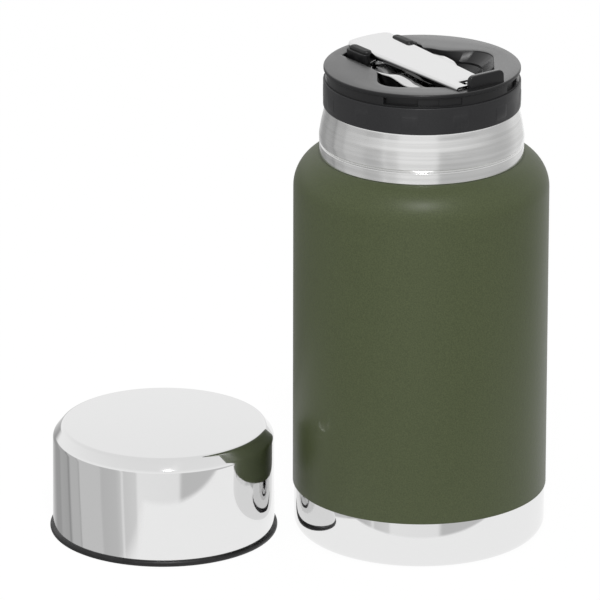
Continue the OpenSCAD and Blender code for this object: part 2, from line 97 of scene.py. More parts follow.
def half_size(node, axis=0):
    """Half the size of a node's box along an axis, in millimetres."""
    return (high(node)[axis] - low(node)[axis]) / 2


def length(name, description, size):
    """A length property with its default given in millimetres."""
    return bpy.props.FloatProperty(name=name, description=description, default=size * MM, min=0,
                                   unit="LENGTH", subtype="DISTANCE", precision=5)


def angle(name, description, degrees):
    """An angle property with its default given in degrees."""
    return bpy.props.FloatProperty(name=name, description=description, default=np.radians(degrees),
                                   unit="ROTATION", subtype="ANGLE")


def colour(name, description, value):
    """A linear colour property."""
    return bpy.props.FloatVectorProperty(name=name, description=description, default=value, size=3,
                                         min=0, max=1, subtype="COLOR")


def share(name, description, value):
    """A property from 0 to 1."""
    return bpy.props.FloatProperty(name=name, description=description, default=value,
                                   min=0, max=1, subtype="FACTOR")


class FoodJarVessel(bpy.types.PropertyGroup):
    """Sizes of the painted shell, the foot, the neck and the liner."""

    wall: length("Shell wall", "Thickness of the steel sheet", 0.7)
    shoulder_r: length("Shoulder radius", "Radius of the shoulder's curve", 14)
    shoulder_turn: angle("Shoulder turn", "Steepest turn of the shoulder from upright", 69.95)
    paint_edge_r: length("Paint edge", "Radius of the painted shell's lower edge", 0.25)
    foot_edge_r: length("Foot edge", "Radius of the foot's lower edge", 5)
    foot_ring: length("Foot ring", "Width of the flat ring that the foot stands on", 3)
    foot_recess: length("Foot recess", "Depth of the recess under the foot", 1.6)
    band_r: length("Neck band radius", "Radius of the bare band above the shoulder", 38.8)
    band_h: length("Neck band height", "Height of the bare band above the shoulder", 4.9)
    groove: length("Neck groove", "Depth of the groove above the band", 0.8)
    thread_r: length("Thread root radius", "Radius of the neck at the thread's root", 34)
    thread_wall: length("Thread wall", "Wall of the neck behind the thread", 0.6)
    rib_h: length("Rib height", "How far a thread rib stands out", 1.1)
    mouth_r: length("Mouth radius", "Inside radius of the mouth", 32.2)
    liner_wall: length("Liner wall", "Thickness of the liner's sheet", 0.6)
    liner_corner_r: length("Liner corner", "Radius of the liner's bottom corner", 10)


class FoodJarStopper(bpy.types.PropertyGroup):
    """Sizes of the stopper's plug, collar and top."""

    wall: length("Plastic wall", "Wall of the plastic pieces", 1.2)
    collar_r: length("Collar radius", "Outside radius of the grip collar", 37.4)
    bore_r: length("Collar bore", "Radius of the collar's threaded bore", 35.6)
    grip_out: length("Pad height", "How far a grip pad stands out", 0.12)
    plug_r: length("Plug radius", "Radius of the plug below its flange", 31.7)
    disc_edge: length("Disc edge", "Thickness of the top disc at its edge", 1.4)
    well_w: length("Well side", "Side of the square well that the spoon lies in", 44)
    well_r: length("Well corner", "Radius of the well's corners", 8)
    trough_w: length("Trough width", "Width of the trough beside the handle's free end", 29.9)
    trough_r: length("Trough corner", "Radius of the trough's corners", 5)
    tab_h: length("Tab height", "Height of the end tab above the disc", 5)
    tab_w: length("Tab width", "Width of the end tab", 16.3)
    tab_t: length("Tab thickness", "Thickness of the end tab", 2)
    lip: length("Moulded edge", "Radius of the moulded edges round the recesses", 0.4)


class FoodJarSpoon(bpy.types.PropertyGroup):
    """Sizes of the folding spoon and the clips that hold it."""

    sheet: length("Sheet", "Thickness of the handle's sheet", 0.8)
    free_half: length("Free end", "Half the handle's width at its free end", 9.95)
    hinge_half: length("Hinge end", "Half the handle's width at its hinge end", 7.2)
    flange: length("Flange", "Depth of the handle's turned edges", 2)
    bend_r: length("Bend", "Outer radius of the handle's turned edges", 0.5)
    bowl_l: length("Bowl length", "Length of the bowl", 44)
    bowl_half: length("Bowl width", "Half the bowl's width at its middle", 14.8)
    bowl_depth: length("Bowl depth", "Depth of the bowl", 8.6)
    clip_l: length("Clip length", "Length of a clip", 12)
    clip_w: length("Clip width", "Width of a clip", 4.4)
    tilt: angle("Handle tilt", "Slope of the stowed handle, up towards its free end", 1.25)


class FoodJarCap(bpy.types.PropertyGroup):
    """Sizes of the cap and its rubber ring."""

    wall: length("Cap wall", "Thickness of the cap's sheet", 0.7)
    taper: length("Taper", "How much smaller the cap's radius is at its slope", 0.25)
    slope_w: length("Slope width", "Width of the sloped edge round the top", 3.5)
    slope_h: length("Slope height", "Height of the sloped edge round the top", 4.4)
    top_edge_r: length("Top edge", "Radius of the edge between the top and the slope", 2.4)
    slope_edge_r: length("Slope edge", "Radius of the edge between the slope and the side", 2.8)
    ring_r: length("Ring radius", "Radius of the rubber ring's section", 1.3)
    sleeve_wall: length("Sleeve wall", "Wall of the plastic sleeve inside the cap", 1.2)


class FoodJarFinishes(bpy.types.PropertyGroup):
    """Colours and surface finishes."""

    green: colour("Body paint", "Powder coat of the body", (0.049, 0.061, 0.0245))
    green_grain: length("Paint grain", "Size of the powder coat's grain", 0.5)
    green_rough: share("Paint roughness", "Roughness of the powder coat", 0.42)
    steel: colour("Steel", "Polished stainless steel", (0.80, 0.80, 0.80))
    steel_rough: share("Polish", "Roughness of the polished steel", 0.035)
    black: colour("Top plastic", "Satin plastic of the stopper's top", (0.009, 0.009, 0.0095))
    collar_black: colour("Collar plastic", "Matt plastic of the grip collar", (0.013, 0.013, 0.014))
    rubber: colour("Rubber", "Black rubber of the ring and clips", (0.006, 0.006, 0.0063))


GROUPS = {"vessel": FoodJarVessel, "stopper": FoodJarStopper, "spoon": FoodJarSpoon, "cap": FoodJarCap,
          "finishes": FoodJarFinishes}


def sizes(group):
    """The values of a property group, with its lengths in millimetres."""
    values = {}
    for prop in group.bl_rna.properties:
        if prop.identifier in ("rna_type", "name"):
            continue
        value = getattr(group, prop.identifier)
        values[prop.identifier] = value / MM if prop.unit == "LENGTH" else value
    return SimpleNamespace(**values)


# ---------------------------------------------------------------- outlines and skins


def smooth(x, start, end):
    """0 up to start, 1 from end on, and 3t^2 - 2t^3 between them."""
    t = np.clip((x - start) / (end - start), 0, 1)
    return t * t * (3 - 2 * t)


def outline(*corners, closed=True):
    """Points of an outline with round corners, each given as (x, y) or (x, y, radius).

    A corner's arc touches both sides at radius / tan(half the inner angle) from the corner, and its
    chords lie within CHORD of it.
    """
    last = len(corners) - 1
    points = []
    for i, corner in enumerate(corners):
        here = np.array(corner[:2], float)
        radius = corner[2] if len(corner) == 3 else 0
        if radius == 0 or (not closed and i in (0, last)):
            points.append(here[None])
            continue
        before = np.array(corners[i - 1][:2], float) - here
        after = np.array(corners[(i + 1) % len(corners)][:2], float) - here
        before /= np.linalg.norm(before)
        after /= np.linalg.norm(after)
        half = np.arccos(np.clip(before @ after, -1, 1)) / 2
        centre = here + (before + after) / np.linalg.norm(before + after) * radius / np.sin(half)
        sweep = np.pi - 2 * half
        steps = max(2, int(np.ceil(sweep / (2 * np.arccos(1 - CHORD / max(radius, 4 * CHORD))))))
        t = np.linspace(0, 1, steps + 1)[:, None]
        first = here + before * radius / np.tan(half) - centre
        second = here + after * radius / np.tan(half) - centre
        arc = (np.sin((1 - t) * sweep) * first + np.sin(t * sweep) * second) / np.sin(sweep)
        points.append(centre + arc)
    points = np.concatenate(points)
    return points[np.linalg.norm(points - np.roll(points, 1, axis=0), axis=1) > 1e-6]


def skin(points, start=None, end=None, loop=False, around=True, solid=True):
    """Vertices and faces of a grid points[row, column].

    The columns close into a ring if around is true, and the rows if loop is true. start and end are
    points that close the first and the last row with a fan. The faces of a solid skin are turned
    outwards: they are reversed if the volume, a sixth of the sum of a . (b x c), is negative.
    """
    rows, columns = points.shape[:2]
    index = np.arange(rows * columns).reshape(rows, columns)
    if around:
        index = np.concatenate([index, index[:, :1]], axis=1)
    if loop:
        index = np.concatenate([index, index[:1]], axis=0)
    quads = np.stack([index[:-1, :-1], index[:-1, 1:], index[1:, 1:], index[1:, :-1]], axis=-1)
    quads = quads.reshape(-1, 4)
    vertices = points.reshape(-1, 3)
    fans = np.zeros((0, 3), int)
    for pole, ring in ((start, index[0, ::-1]), (end, index[-1])):
        if pole is not None:
            hub = np.full(len(ring) - 1, len(vertices))
            vertices = np.concatenate([vertices, np.reshape(pole, (1, 3))])
            fans = np.concatenate([fans, np.stack([ring[:-1], ring[1:], hub], axis=-1)])
    if solid:
        corners = np.concatenate([quads[:, :3], quads[:, [0, 2, 3]], fans])
        a, b, c = (vertices[corners[:, k]] for k in range(3))
        if np.sum(a * np.cross(b, c)) < 0:
            quads, fans = quads[:, ::-1], fans[:, ::-1]
    return vertices, quads.tolist() + fans.tolist()


def revolve(profile, sides, push=None, centre=(0, 0)):
    """Grid of a body of revolution: x = r cos t, y = r sin t, z = h for each profile point (r, h).

    push(turn, r, h) may move the radius, where turn is in degrees from +X.
    """
    turn = np.linspace(0, 360, sides, endpoint=False)[None, :]
    r, z = (np.repeat(profile[:, k, None], sides, axis=1) for k in range(2))
    if push:
        r = push(turn, r, z)
    t = np.radians(turn)
    return np.stack([centre[0] + r * np.cos(t), centre[1] + r * np.sin(t), z], axis=-1)


def ring_skin(profile, sides, push=None, centre=(0, 0)):
    """Skin of a ring whose closed profile doesn't reach the axis."""
    return skin(revolve(profile, sides, push, centre), loop=True)


def cup_skin(profile, sides, push=None, centre=(0, 0)):
    """Skin of a body whose open profile starts and ends on the axis."""
    start, end = ((*centre, profile[k, 1]) for k in (0, -1))
    return skin(revolve(profile[1:-1], sides, push, centre), start=start, end=end)


def inset(ring, depth):
    """A closed plane outline moved in along its normals, the unit tangents turned by a right angle."""
    tangent = np.roll(ring, -1, axis=0) - np.roll(ring, 1, axis=0)
    tangent /= np.linalg.norm(tangent, axis=1)[:, None]
    return ring + depth * np.stack([-tangent[:, 1], tangent[:, 0]], axis=-1)


def place(points, origin, along, across, up):
    """Points (a, b, c) put at origin + a along + b across + c up."""
    return np.asarray(origin) + np.asarray(points, float) @ np.array([along, across, up])


def placed_skin(grid, start, end, where):
    """Skin of a grid with a pole at both ends, put at where: an origin and three axes."""
    return skin(place(grid, *where), start=place(start, *where), end=place(end, *where))


def slab_skin(ring, heights, edges, where, steps=5):
    """Skin of a slab: a counter-clockwise outline between two heights, with round edges.

    An edge of radius e runs through insets e (1 - cos a) and heights e (1 - sin a).
    """
    (bottom, top), (edge_low, edge_high) = heights, edges
    a = np.linspace(0, np.pi / 2, steps)
    insets = [*edge_low * (1 - np.sin(a)), *edge_high * (1 - np.cos(a))]
    levels = [*bottom + edge_low * (1 - np.cos(a)), *top - edge_high * (1 - np.sin(a))]
    rows = [np.column_stack([inset(ring, d), np.full(len(ring), z)]) for d, z in zip(insets, levels)]
    middle = ring.mean(axis=0)
    return placed_skin(rows, (*middle, bottom), (*middle, top), where)


def make(name, node, finish, skins):
    """One finished piece, which stands for a node, rides on its body and takes the given finish."""
    vertices, faces = [], []
    for points, polygons in skins:
        base = sum(len(v) for v in vertices)
        faces += [[base + k for k in polygon] for polygon in polygons]
        vertices.append(points)
    mesh = bpy.data.meshes.new(name)
    mesh.from_pydata((np.concatenate(vertices) * MM).tolist(), [], faces)
    mesh.shade_smooth()
    mesh.set_sharp_from_angle(angle=SHARP_ANGLE)
    mesh.materials.append(finish)
    piece = bpy.data.objects.new(name, mesh)
    bpy.context.scene.collection.objects.link(piece)
    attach(piece, BODY_OF[node])
    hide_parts(node)
    return piece


# ---------------------------------------------------------------- shader maths


class Value:
    """An output socket. Arithmetic on it adds Math nodes to its tree."""

    def __init__(self, tree, socket):
        self.tree = tree
        self.socket = socket

    def math(self, operation, *values):
        return self.tree.add("ShaderNodeMath", {"operation": operation}, dict(enumerate(values)))

    def __add__(self, other):
        return self.math("ADD", self, other)

    def __radd__(self, other):
        return self.math("ADD", other, self)

    def __sub__(self, other):
        return self.math("SUBTRACT", self, other)

    def __rsub__(self, other):
        return self.math("SUBTRACT", other, self)

    def __mul__(self, other):
        return self.math("MULTIPLY", self, other)

    def __rmul__(self, other):
        return self.math("MULTIPLY", other, self)

    def ramp(self, start, end, low=0.0, high=1.0):
        """Smooth step from low at start to high at end."""
        return self.tree.add("ShaderNodeMapRange", {"interpolation_type": "SMOOTHSTEP"},
                             {0: self, 1: start, 2: end, 3: low, 4: high})


class Tree:
    """A node tree. add() makes any node from its type, its settings and its sockets."""

    def __init__(self, tree):
        self.tree = tree
        tree.nodes.clear()

    def add(self, kind, settings=None, sockets=None, output=0):
        """Adds a node. Settings are set first; a ramp's stops are pairs of position and grey."""
        node = self.tree.nodes.new(kind)
        for name, value in (settings or {}).items():
            if name == "stops":
                elements = node.color_ramp.elements
                while len(elements) < len(value):
                    elements.new(0.5)
                for element, (position, grey) in zip(elements, value):
                    element.position = position
                    element.color = (grey, grey, grey, 1)
            else:
                setattr(node, name, value)
        for key, value in (sockets or {}).items():
            socket = node.inputs[key]
            if isinstance(value, Value):
                self.tree.links.new(value.socket, socket)
            else:
                socket.default_value = value
        return Value(self, node.outputs[output]) if len(node.outputs) else None

    def mix(self, factor, a, b):
        """Colour a where factor is 0, and b where it is 1."""
        a, b = ((*c, 1) if isinstance(c, tuple) and len(c) == 3 else c for c in (a, b))
        return self.add("ShaderNodeMix", {"data_type": "RGBA"}, {0: factor, 6: a, 7: b}, output=2)

    def place(self, scale=(1, 1, 1), centre=(0, 0, 0), turn=0.0):
        """Object coordinates about a centre in millimetres, scaled by each axis, after a turn about Z."""
        here = self.add("ShaderNodeTexCoord", output="Object")
        if any(centre):
            here = self.add("ShaderNodeVectorMath", {"operation": "SUBTRACT"},
                            {0: here, 1: tuple(c * MM for c in centre)})
        return self.add("ShaderNodeMapping", {"vector_type": "POINT"},
                        {"Vector": here, "Scale": scale, "Rotation": (0, 0, turn)})

    def noise(self, where, size, detail=2.0, roughness=0.5):
        """Noise from 0 to 1 whose lumps are about size millimetres across."""
        return self.add("ShaderNodeTexNoise", {}, {"Vector": where, "Scale": 1 / (size * MM),
                                                   "Detail": detail, "Roughness": roughness})

    def rays(self, kind):
        """1 for rays of a kind, and 0 for all others."""
        return self.add("ShaderNodeLightPath", output="Is " + kind + " Ray")

    def parts(self, vector):
        """The three numbers of a vector."""
        node = self.add("ShaderNodeSeparateXYZ", {}, {0: vector}).socket.node
        return [Value(self, socket) for socket in node.outputs]


class Finish(Tree):
    """A material with one Principled shader, whose fixed values are set on its own sockets."""

    def __init__(self, name, **fixed):
        self.material = bpy.data.materials.new(name)
        self.material.use_nodes = True
        super().__init__(self.material.node_tree)
        if "Base_Color" in fixed:
            fixed["Base_Color"] = (*fixed["Base_Color"], 1)
        sockets = {key.replace("_", " "): value for key, value in fixed.items()}
        surface = self.add("ShaderNodeBsdfPrincipled", {}, sockets)
        self.shader = surface.socket.node
        self.add("ShaderNodeOutputMaterial", {}, {"Surface": surface})

    def vary(self, socket, value):
        """Links a value to one of the shader's sockets."""
        self.tree.links.new(value.socket, self.shader.inputs[socket])

    def paint(self, factor, a, b):
        """Colours the surface a where factor is 0, and b where it is 1."""
        self.vary("Base Color", self.mix(factor, a, b))

    def bump(self, height, distance):
        """Raises the surface by height times distance in millimetres."""
        self.vary("Normal", self.add("ShaderNodeBump", {}, {"Height": height, "Distance": distance * MM}))


# ---------------------------------------------------------------- finishes


def shades(tone, dark, light):
    """A darker and a lighter shade of a colour."""
    return tuple(c * dark for c in tone), tuple(c * light for c in tone)


def green_coat(f):
    """Powder coat: fine orange peel, a grain of lighter and darker specks, and slow drifts of gloss."""
    tree = Finish("green_powder_coat", IOR=1.5, Specular_IOR_Level=0.28)
    here = tree.place()
    grain = tree.noise(here, f.green_grain, detail=3.0, roughness=0.65)
    peel = tree.noise(here, f.green_grain * 3.2, detail=1.0)
    drift = tree.noise(here, 35, detail=1.0)
    dark = tuple(c * 0.84 for c in f.green)
    light = tuple(min(1.0, c * 1.16 + 0.002) for c in f.green)
    tree.paint(grain.ramp(0.3, 0.7), dark, light)
    gloss = grain.ramp(0.3, 0.75, f.green_rough - 0.04, f.green_rough + 0.06)
    tree.vary("Roughness", gloss + (drift - 0.5) * 0.05)
    tree.bump(grain * 0.5 + peel * 0.8, 0.035)
    return tree.material


def mirror_steel(f, name, centre=(0, 0, 0)):
    """Polished steel: faint lines from drawing the sheet, slow waves, and a little haze in patches."""
    tree = Finish(name, Base_Color=tuple(f.steel), Metallic=1.0)
    upright = tree.place(scale=(1, 1, 0.04), centre=centre)
    lines = tree.noise(upright, 0.9, detail=2.0)
    here = tree.place(centre=centre)
    waves = tree.noise(here, 16, detail=0.0)
    haze = tree.noise(here, 9, detail=2.0)
    tree.vary("Roughness", haze.ramp(0.35, 0.8, f.steel_rough, f.steel_rough + 0.045))
    tree.bump(lines * 0.12 + waves * 2.2, 0.012)
    return tree.material


def turned_steel():
    """Bare turned steel: rings that a tool leaves, each at its own height, and softer smudges."""
    tree = Finish("turned_steel", Metallic=1.0)
    rings = tree.place(scale=(0.02, 0.02, 1))
    fine = tree.noise(rings, 0.16, detail=2.0, roughness=0.6)
    broad = tree.noise(rings, 1.1, detail=1.0)
    smudge = tree.noise(tree.place(scale=(1, 1, 1.6)), 7, detail=2.0)
    tree.paint(broad.ramp(0.3, 0.7), (0.72, 0.72, 0.715), (0.80, 0.80, 0.795))
    tree.vary("Roughness", fine.ramp(0.3, 0.7, 0.13, 0.18) + smudge.ramp(0.45, 0.75, 0.0, 0.07))
    tree.bump(fine * 0.12 + broad * 0.6, 0.012)
    return tree.material


def liner_steel():
    """Electropolished steel: soft sheen with faint rings."""
    tree = Finish("liner_steel", Metallic=1.0)
    rings = tree.noise(tree.place(scale=(0.03, 0.03, 1)), 0.5, detail=2.0)
    cloud = tree.noise(tree.place(), 12, detail=2.0)
    tree.paint(cloud, (0.56, 0.56, 0.56), (0.66, 0.66, 0.655))
    tree.vary("Roughness", rings.ramp(0.3, 0.7, 0.22, 0.32))
    tree.bump(rings, 0.006)
    return tree.material


def raw_steel():
    """Mill finish: grain along X, small stains and a dull sheen."""
    tree = Finish("raw_steel", Metallic=1.0)
    grain = tree.noise(tree.place(scale=(0.05, 1, 1)), 0.3, detail=3.0)
    stain = tree.noise(tree.place(), 5, detail=3.0)
    tree.paint(stain.ramp(0.35, 0.7), (0.36, 0.355, 0.345), (0.50, 0.50, 0.495))
    tree.vary("Roughness", grain.ramp(0.3, 0.7, 0.32, 0.48))
    tree.bump(grain, 0.01)
    return tree.material


def copper_foil():
    """Copper foil: wrinkles, brighter on their crests."""
    tree = Finish("copper_foil", Metallic=1.0)
    wrinkle = tree.noise(tree.place(), 4, detail=4.0, roughness=0.6)
    tree.paint(wrinkle.ramp(0.3, 0.7), (0.62, 0.31, 0.20), (0.85, 0.50, 0.36))
    tree.vary("Roughness", wrinkle.ramp(0.3, 0.7, 0.34, 0.2))
    tree.bump(wrinkle, 0.3)
    return tree.material


def sintered_metal():
    """Pressed and sintered powder: dark grains."""
    tree = Finish("sintered_metal", Metallic=0.8)
    grain = tree.noise(tree.place(), 0.35, detail=3.0, roughness=0.7)
    tree.paint(grain, (0.13, 0.13, 0.135), (0.27, 0.27, 0.28))
    tree.vary("Roughness", grain.ramp(0.3, 0.7, 0.7, 0.55))
    tree.bump(grain, 0.06)
    return tree.material


def sealing_glass():
    """Fused sealing glass: grey, glossy, with small bubbles."""
    tree = Finish("sealing_glass", IOR=1.55)
    bubble = tree.add("ShaderNodeTexVoronoi", {}, {"Vector": tree.place(), "Scale": 900.0})
    tree.paint(bubble.ramp(0.1, 0.35), (0.38, 0.40, 0.41), (0.22, 0.25, 0.26))
    tree.vary("Roughness", bubble.ramp(0.1, 0.4, 0.25, 0.08))
    tree.bump(bubble.ramp(0.0, 0.3), 0.05)
    return tree.material


def white_foam():
    """Insulating foam: cells with darker walls."""
    tree = Finish("white_foam", Specular_IOR_Level=0.3)
    cells = tree.add("ShaderNodeTexVoronoi", {"feature": "DISTANCE_TO_EDGE"},
                     {"Vector": tree.place(), "Scale": 1 / (0.7 * MM)})
    tree.paint(cells.ramp(0.0, 0.12), (0.66, 0.65, 0.62), (0.88, 0.88, 0.86))
    tree.vary("Roughness", cells.ramp(0.0, 0.2, 0.95, 0.8))
    tree.bump(cells.ramp(0.0, 0.2), 0.12)
    return tree.material


def satin_plastic(f):
    """Satin moulded plastic: fine texture, slow drifts of gloss, rare specks, and a polished top face.

    The polish is a coat that is there only where the surface faces up.
    """
    tree = Finish("satin_black_plastic", IOR=1.5, Specular_IOR_Level=0.25,
                  Coat_IOR=1.6, Coat_Roughness=0.26)
    here = tree.place()
    texture = tree.noise(here, 0.22, detail=2.0, roughness=0.6)
    drift = tree.noise(here, 14, detail=2.0)
    speck = tree.noise(here, 0.5, detail=1.0).ramp(0.78, 0.84)
    tree.paint(texture.ramp(0.35, 0.65), *shades(f.black, 0.88, 1.2))
    tree.vary("Roughness", drift.ramp(0.3, 0.7, 0.29, 0.34) + speck * 0.1)
    x, _, _ = tree.parts(here)
    up = tree.parts(tree.add("ShaderNodeNewGeometry", output="Normal"))[2]
    polish = x.ramp(-0.034, 0.012, 0.56, 0.86) + (drift - 0.5) * 0.06
    tree.vary("Coat Weight", up.ramp(0.6, 0.97) * polish)
    tree.bump(texture, 0.012)
    return tree.material


def matt_plastic(f):
    """Fine matt moulded plastic, a little shinier where it is handled."""
    tree = Finish("matt_black_plastic", IOR=1.5, Specular_IOR_Level=0.3)
    here = tree.place()
    texture = tree.noise(here, 0.3, detail=2.0, roughness=0.6)
    wear = tree.noise(here, 8, detail=2.0)
    tree.paint(texture.ramp(0.35, 0.65), *shades(f.collar_black, 0.85, 1.25))
    tree.vary("Roughness", wear.ramp(0.35, 0.7, 0.36, 0.44))
    tree.bump(texture, 0.015)
    return tree.material


def black_rubber(f):
    """Smooth black rubber: faint moulding texture and a soft bloom."""
    tree = Finish("black_rubber", IOR=1.48, Specular_IOR_Level=0.35)
    here = tree.place()
    texture = tree.noise(here, 0.25, detail=2.0)
    bloom = tree.noise(here, 6, detail=3.0)
    tree.paint(bloom.ramp(0.45, 0.75), tuple(f.rubber), (0.013, 0.013, 0.0135))
    tree.vary("Roughness", bloom.ramp(0.3, 0.7, 0.34, 0.48))
    tree.bump(texture, 0.01)
    return tree.material


def clear_silicone():
    """Milky silicone rubber."""
    tree = Finish("milky_silicone", IOR=1.41, Subsurface_Weight=0.3, Subsurface_Scale=0.002)
    cloud = tree.noise(tree.place(), 3, detail=2.0)
    tree.paint(cloud, (0.66, 0.66, 0.64), (0.74, 0.74, 0.73))
    tree.vary("Roughness", cloud.ramp(0.3, 0.7, 0.35, 0.5))
    tree.bump(cloud, 0.02)
    return tree.material


def spoon_steel(f, name):
    """Polished spoon steel: polishing lines along the spoon, and painted shade: the upright edges are coloured
    dark grey.
    """
    tree = Finish(name, Metallic=1.0)
    along = tree.place(scale=(0.03, 1, 1), turn=SPOON_TURN)
    lines = tree.noise(along, 0.25, detail=3.0)
    cloud = tree.noise(tree.place(), 5, detail=2.0)
    facing = tree.parts(tree.add("ShaderNodeTexCoord", output="Normal"))[2]
    # painted shade: upright faces, such as the handle's turned edges, get a dark grey colour in place of the
    # steel's; this mask is 1 where a face lies flat
    flat = facing.math("ABSOLUTE", facing).ramp(0.35, 0.8)
    tree.paint(flat, (0.10, 0.10, 0.10), tuple(f.steel))
    tree.vary("Roughness", lines.ramp(0.3, 0.7, 0.07, 0.13) + cloud.ramp(0.4, 0.8, 0.0, 0.04))
    tree.bump(lines, 0.003)
    return tree.material


# ---------------------------------------------------------------- the vessel


def shell_profile(v):
    """Closed profile of the painted shell: side, shoulder arc, lip at the neck, and back down inside."""
    body_r, _, top_z = high("outer_shell")
    foot_z = high("base_cup")[2]
    tuck_r, tuck_z = high("base_cup")[0] - v.wall, low("outer_shell")[2]
    shoulder_z = top_z - v.shoulder_r * np.sin(v.shoulder_turn)
    corner_z = shoulder_z + v.shoulder_r * np.tan(v.shoulder_turn / 2)
    lip_r = v.band_r + 0.55
    rise = (body_r - lip_r) / np.tan(v.shoulder_turn)
    return outline(
        (tuck_r, tuck_z), (tuck_r, foot_z), (body_r, foot_z, v.paint_edge_r),
        (body_r, corner_z, v.shoulder_r), (lip_r, corner_z + rise, 0.3),
        (lip_r - v.wall, corner_z + rise - 0.1),
        (body_r - v.wall, corner_z - 1, v.shoulder_r - v.wall), (body_r - v.wall, foot_z + v.wall),
        (tuck_r - v.wall, foot_z), (tuck_r - v.wall, tuck_z))


def foot_profile(v):
    """Open profile of the foot from the axis: recess, standing ring, round edge, side, and the inside."""
    r, _, top = high("base_cup")
    step_r = r - v.foot_edge_r - v.foot_ring
    return outline(
        (0, v.foot_recess), (step_r, v.foot_recess, 0.8), (step_r + 0.6, 0, 0.5), (r, 0, v.foot_edge_r),
        (r, top, 0.15), (r - v.wall, top, 0.15), (r - v.wall, v.wall, v.foot_edge_r - v.wall),
        (step_r + 1.6, v.wall, 0.5), (step_r + 0.9, v.foot_recess + v.wall, 0.5),
        (0, v.foot_recess + v.wall), closed=False)


# the degrees of each quarter turn that a neck rib and a collar lug cover, and their sections
RIB_ARC = (0, 40)
LUG_ARC = (15, 40)
THREAD_LEAD = 16
RIB_BASE = 1.6
RIB_CREST = 0.7
LUG_DROP = 1.6


def thread_rib(turn, z, start_z, arc):
    """Height of the thread's ribs from 0 to 1: a trapezoid across the helix z = start + lead turn / 360.

    There is one rib for each quarter turn, and it fades over two degrees at both ends of its arc.
    """
    local = np.mod(turn, 90)
    across = np.abs(z - start_z - THREAD_LEAD * local / 360)
    rise = np.clip((RIB_BASE / 2 - across) / ((RIB_BASE - RIB_CREST) / 2), 0, 1)
    return rise * smooth(local, arc[0], arc[0] + 2) * smooth(-local, -arc[1], 2 - arc[1])


def rib_start():
    """Height of a neck rib's middle at the start of its arc, so that its end meets the neck's top."""
    return high("neck")[2] - RIB_BASE / 2 - THREAD_LEAD * RIB_ARC[1] / 360


def neck_profile(v):
    """Closed profile of the neck: tucked-in lip, band, groove, belly, cone, thread wall and the inside."""
    low_z, top = low("neck")[2], high("neck")[2]
    base = high("outer_shell")[2]
    groove = base + v.band_h
    band, belly = v.band_r, v.band_r + 0.1
    cone_z = top - 4.1
    belly_z = cone_z - 2.3
    rows = [(v.thread_r, z) for z in np.arange(cone_z + 0.8, top - 0.1, 0.12)]
    return outline(
        (band - 0.2, low_z), (band - 0.2, base - 0.4), (band, base + 0.3, 0.4), (band, groove - 0.35, 0.25),
        (band - v.groove, groove, 0.12), (belly - 0.05, groove + 0.75, 0.5), (belly, groove + 3.2, 6),
        (belly - 0.75, groove + 7.6, 12), (belly - 1.75, groove + 12, 10), (belly - 2.1, belly_z, 1.2),
        (v.thread_r, cone_z, 0.5), *rows, (v.thread_r, top), (v.thread_r - v.thread_wall, top),
        (v.thread_r - v.thread_wall, cone_z - 0.2, 0.4), (belly - 2.8, belly_z - 0.2, 1),
        (belly - 1.9, groove + 9), (belly - 0.9, groove + 2.2), (band - 1.4, groove),
        (band - 0.9, base), (band - 0.9, low_z))


def liner_profile(v):
    """Open profile of the liner from the axis: outside up to the rolled mouth, then the inside down."""
    floor = low("inner_liner")[2]
    out_r, _, rim = high("inner_liner")
    w = v.liner_wall
    mouth = v.mouth_r + w
    return outline(
        (0, floor), (out_r, floor, v.liner_corner_r + w), (out_r, rim - 29.9, 12), (mouth, rim - 26.5, 3),
        (mouth, rim - w, 0.2), (v.thread_r, rim - w), (v.thread_r, rim, 0.3), (v.mouth_r, rim, 0.5),
        (v.mouth_r, rim - 26.9, 3.4), (out_r - w, rim - 30.3, 12), (out_r - w, floor + w, v.liner_corner_r),
        (0, floor + w), closed=False)


# ---------------------------------------------------------------- the stopper


SPOON_UP = np.array((0.0, 0.0, 1.0))
SPOON_ACROSS = np.array(HINGE["axis"], float)
SPOON_ALONG = np.cross(SPOON_ACROSS, SPOON_UP)
SPOON_AXES = (SPOON_ALONG, SPOON_ACROSS, SPOON_UP)
SPOON_FRAME = ((0, 0, 0), *SPOON_AXES)
SPOON_TURN = np.arctan2(SPOON_ACROSS[0], SPOON_ACROSS[1])
PIN = np.array(HINGE["pos_m"], float) / MM
PIN_S = PIN @ SPOON_ALONG
SPOON_SHIFT = PIN @ SPOON_ACROSS


def from_spoon(points):
    """Points (s, n, z) in the spoon's frame, s along the spoon and n across it, put in the jar's frame."""
    return place(points, *SPOON_FRAME)


def stopper_levels(p):
    """Heights and radii that the stopper's pieces share."""
    disc_r, _, tab_z = high("stopper_cover")
    return SimpleNamespace(
        disc_z=tab_z - p.tab_h, disc_r=disc_r, band_r=disc_r - 0.6,
        collar_top=high("stopper_collar")[2], collar_z=low("stopper_collar")[2],
        well_z=low("stopper_cover")[2] + p.wall, trough_z=low("spoon_clips")[2],
        trough_end=6.1 - disc_r, tab_s=disc_r - 4.7, flange_z=high("stopper_plug")[2],
        handle_free=2.3 - disc_r, handle_end=disc_r - 5.0, clips_s=14.3 - disc_r)


def handle_half(s, spoon, levels):
    """Half width of the handle at a distance along the spoon, even from its free end to its hinge end."""
    free, end = levels.handle_free, levels.handle_end
    return spoon.free_half + (spoon.hinge_half - spoon.free_half) * (s - free) / (end - free)


def box_distance(s, n, centre, half, radius, turn=0.0):
    """Distance to a rectangle with round corners: |max(q, 0)| + min(max(q), 0) - radius.

    q is how far a point is past the core, which is the rectangle less the radius on each side.
    """
    a, b = s - centre[0], n - centre[1]
    a, b = a * np.cos(turn) + b * np.sin(turn), b * np.cos(turn) - a * np.sin(turn)
    q1, q2 = np.abs(a) - half[0] + radius, np.abs(b) - half[1] + radius
    return np.hypot(np.maximum(q1, 0), np.maximum(q2, 0)) + np.minimum(np.maximum(q1, q2), 0) - radius


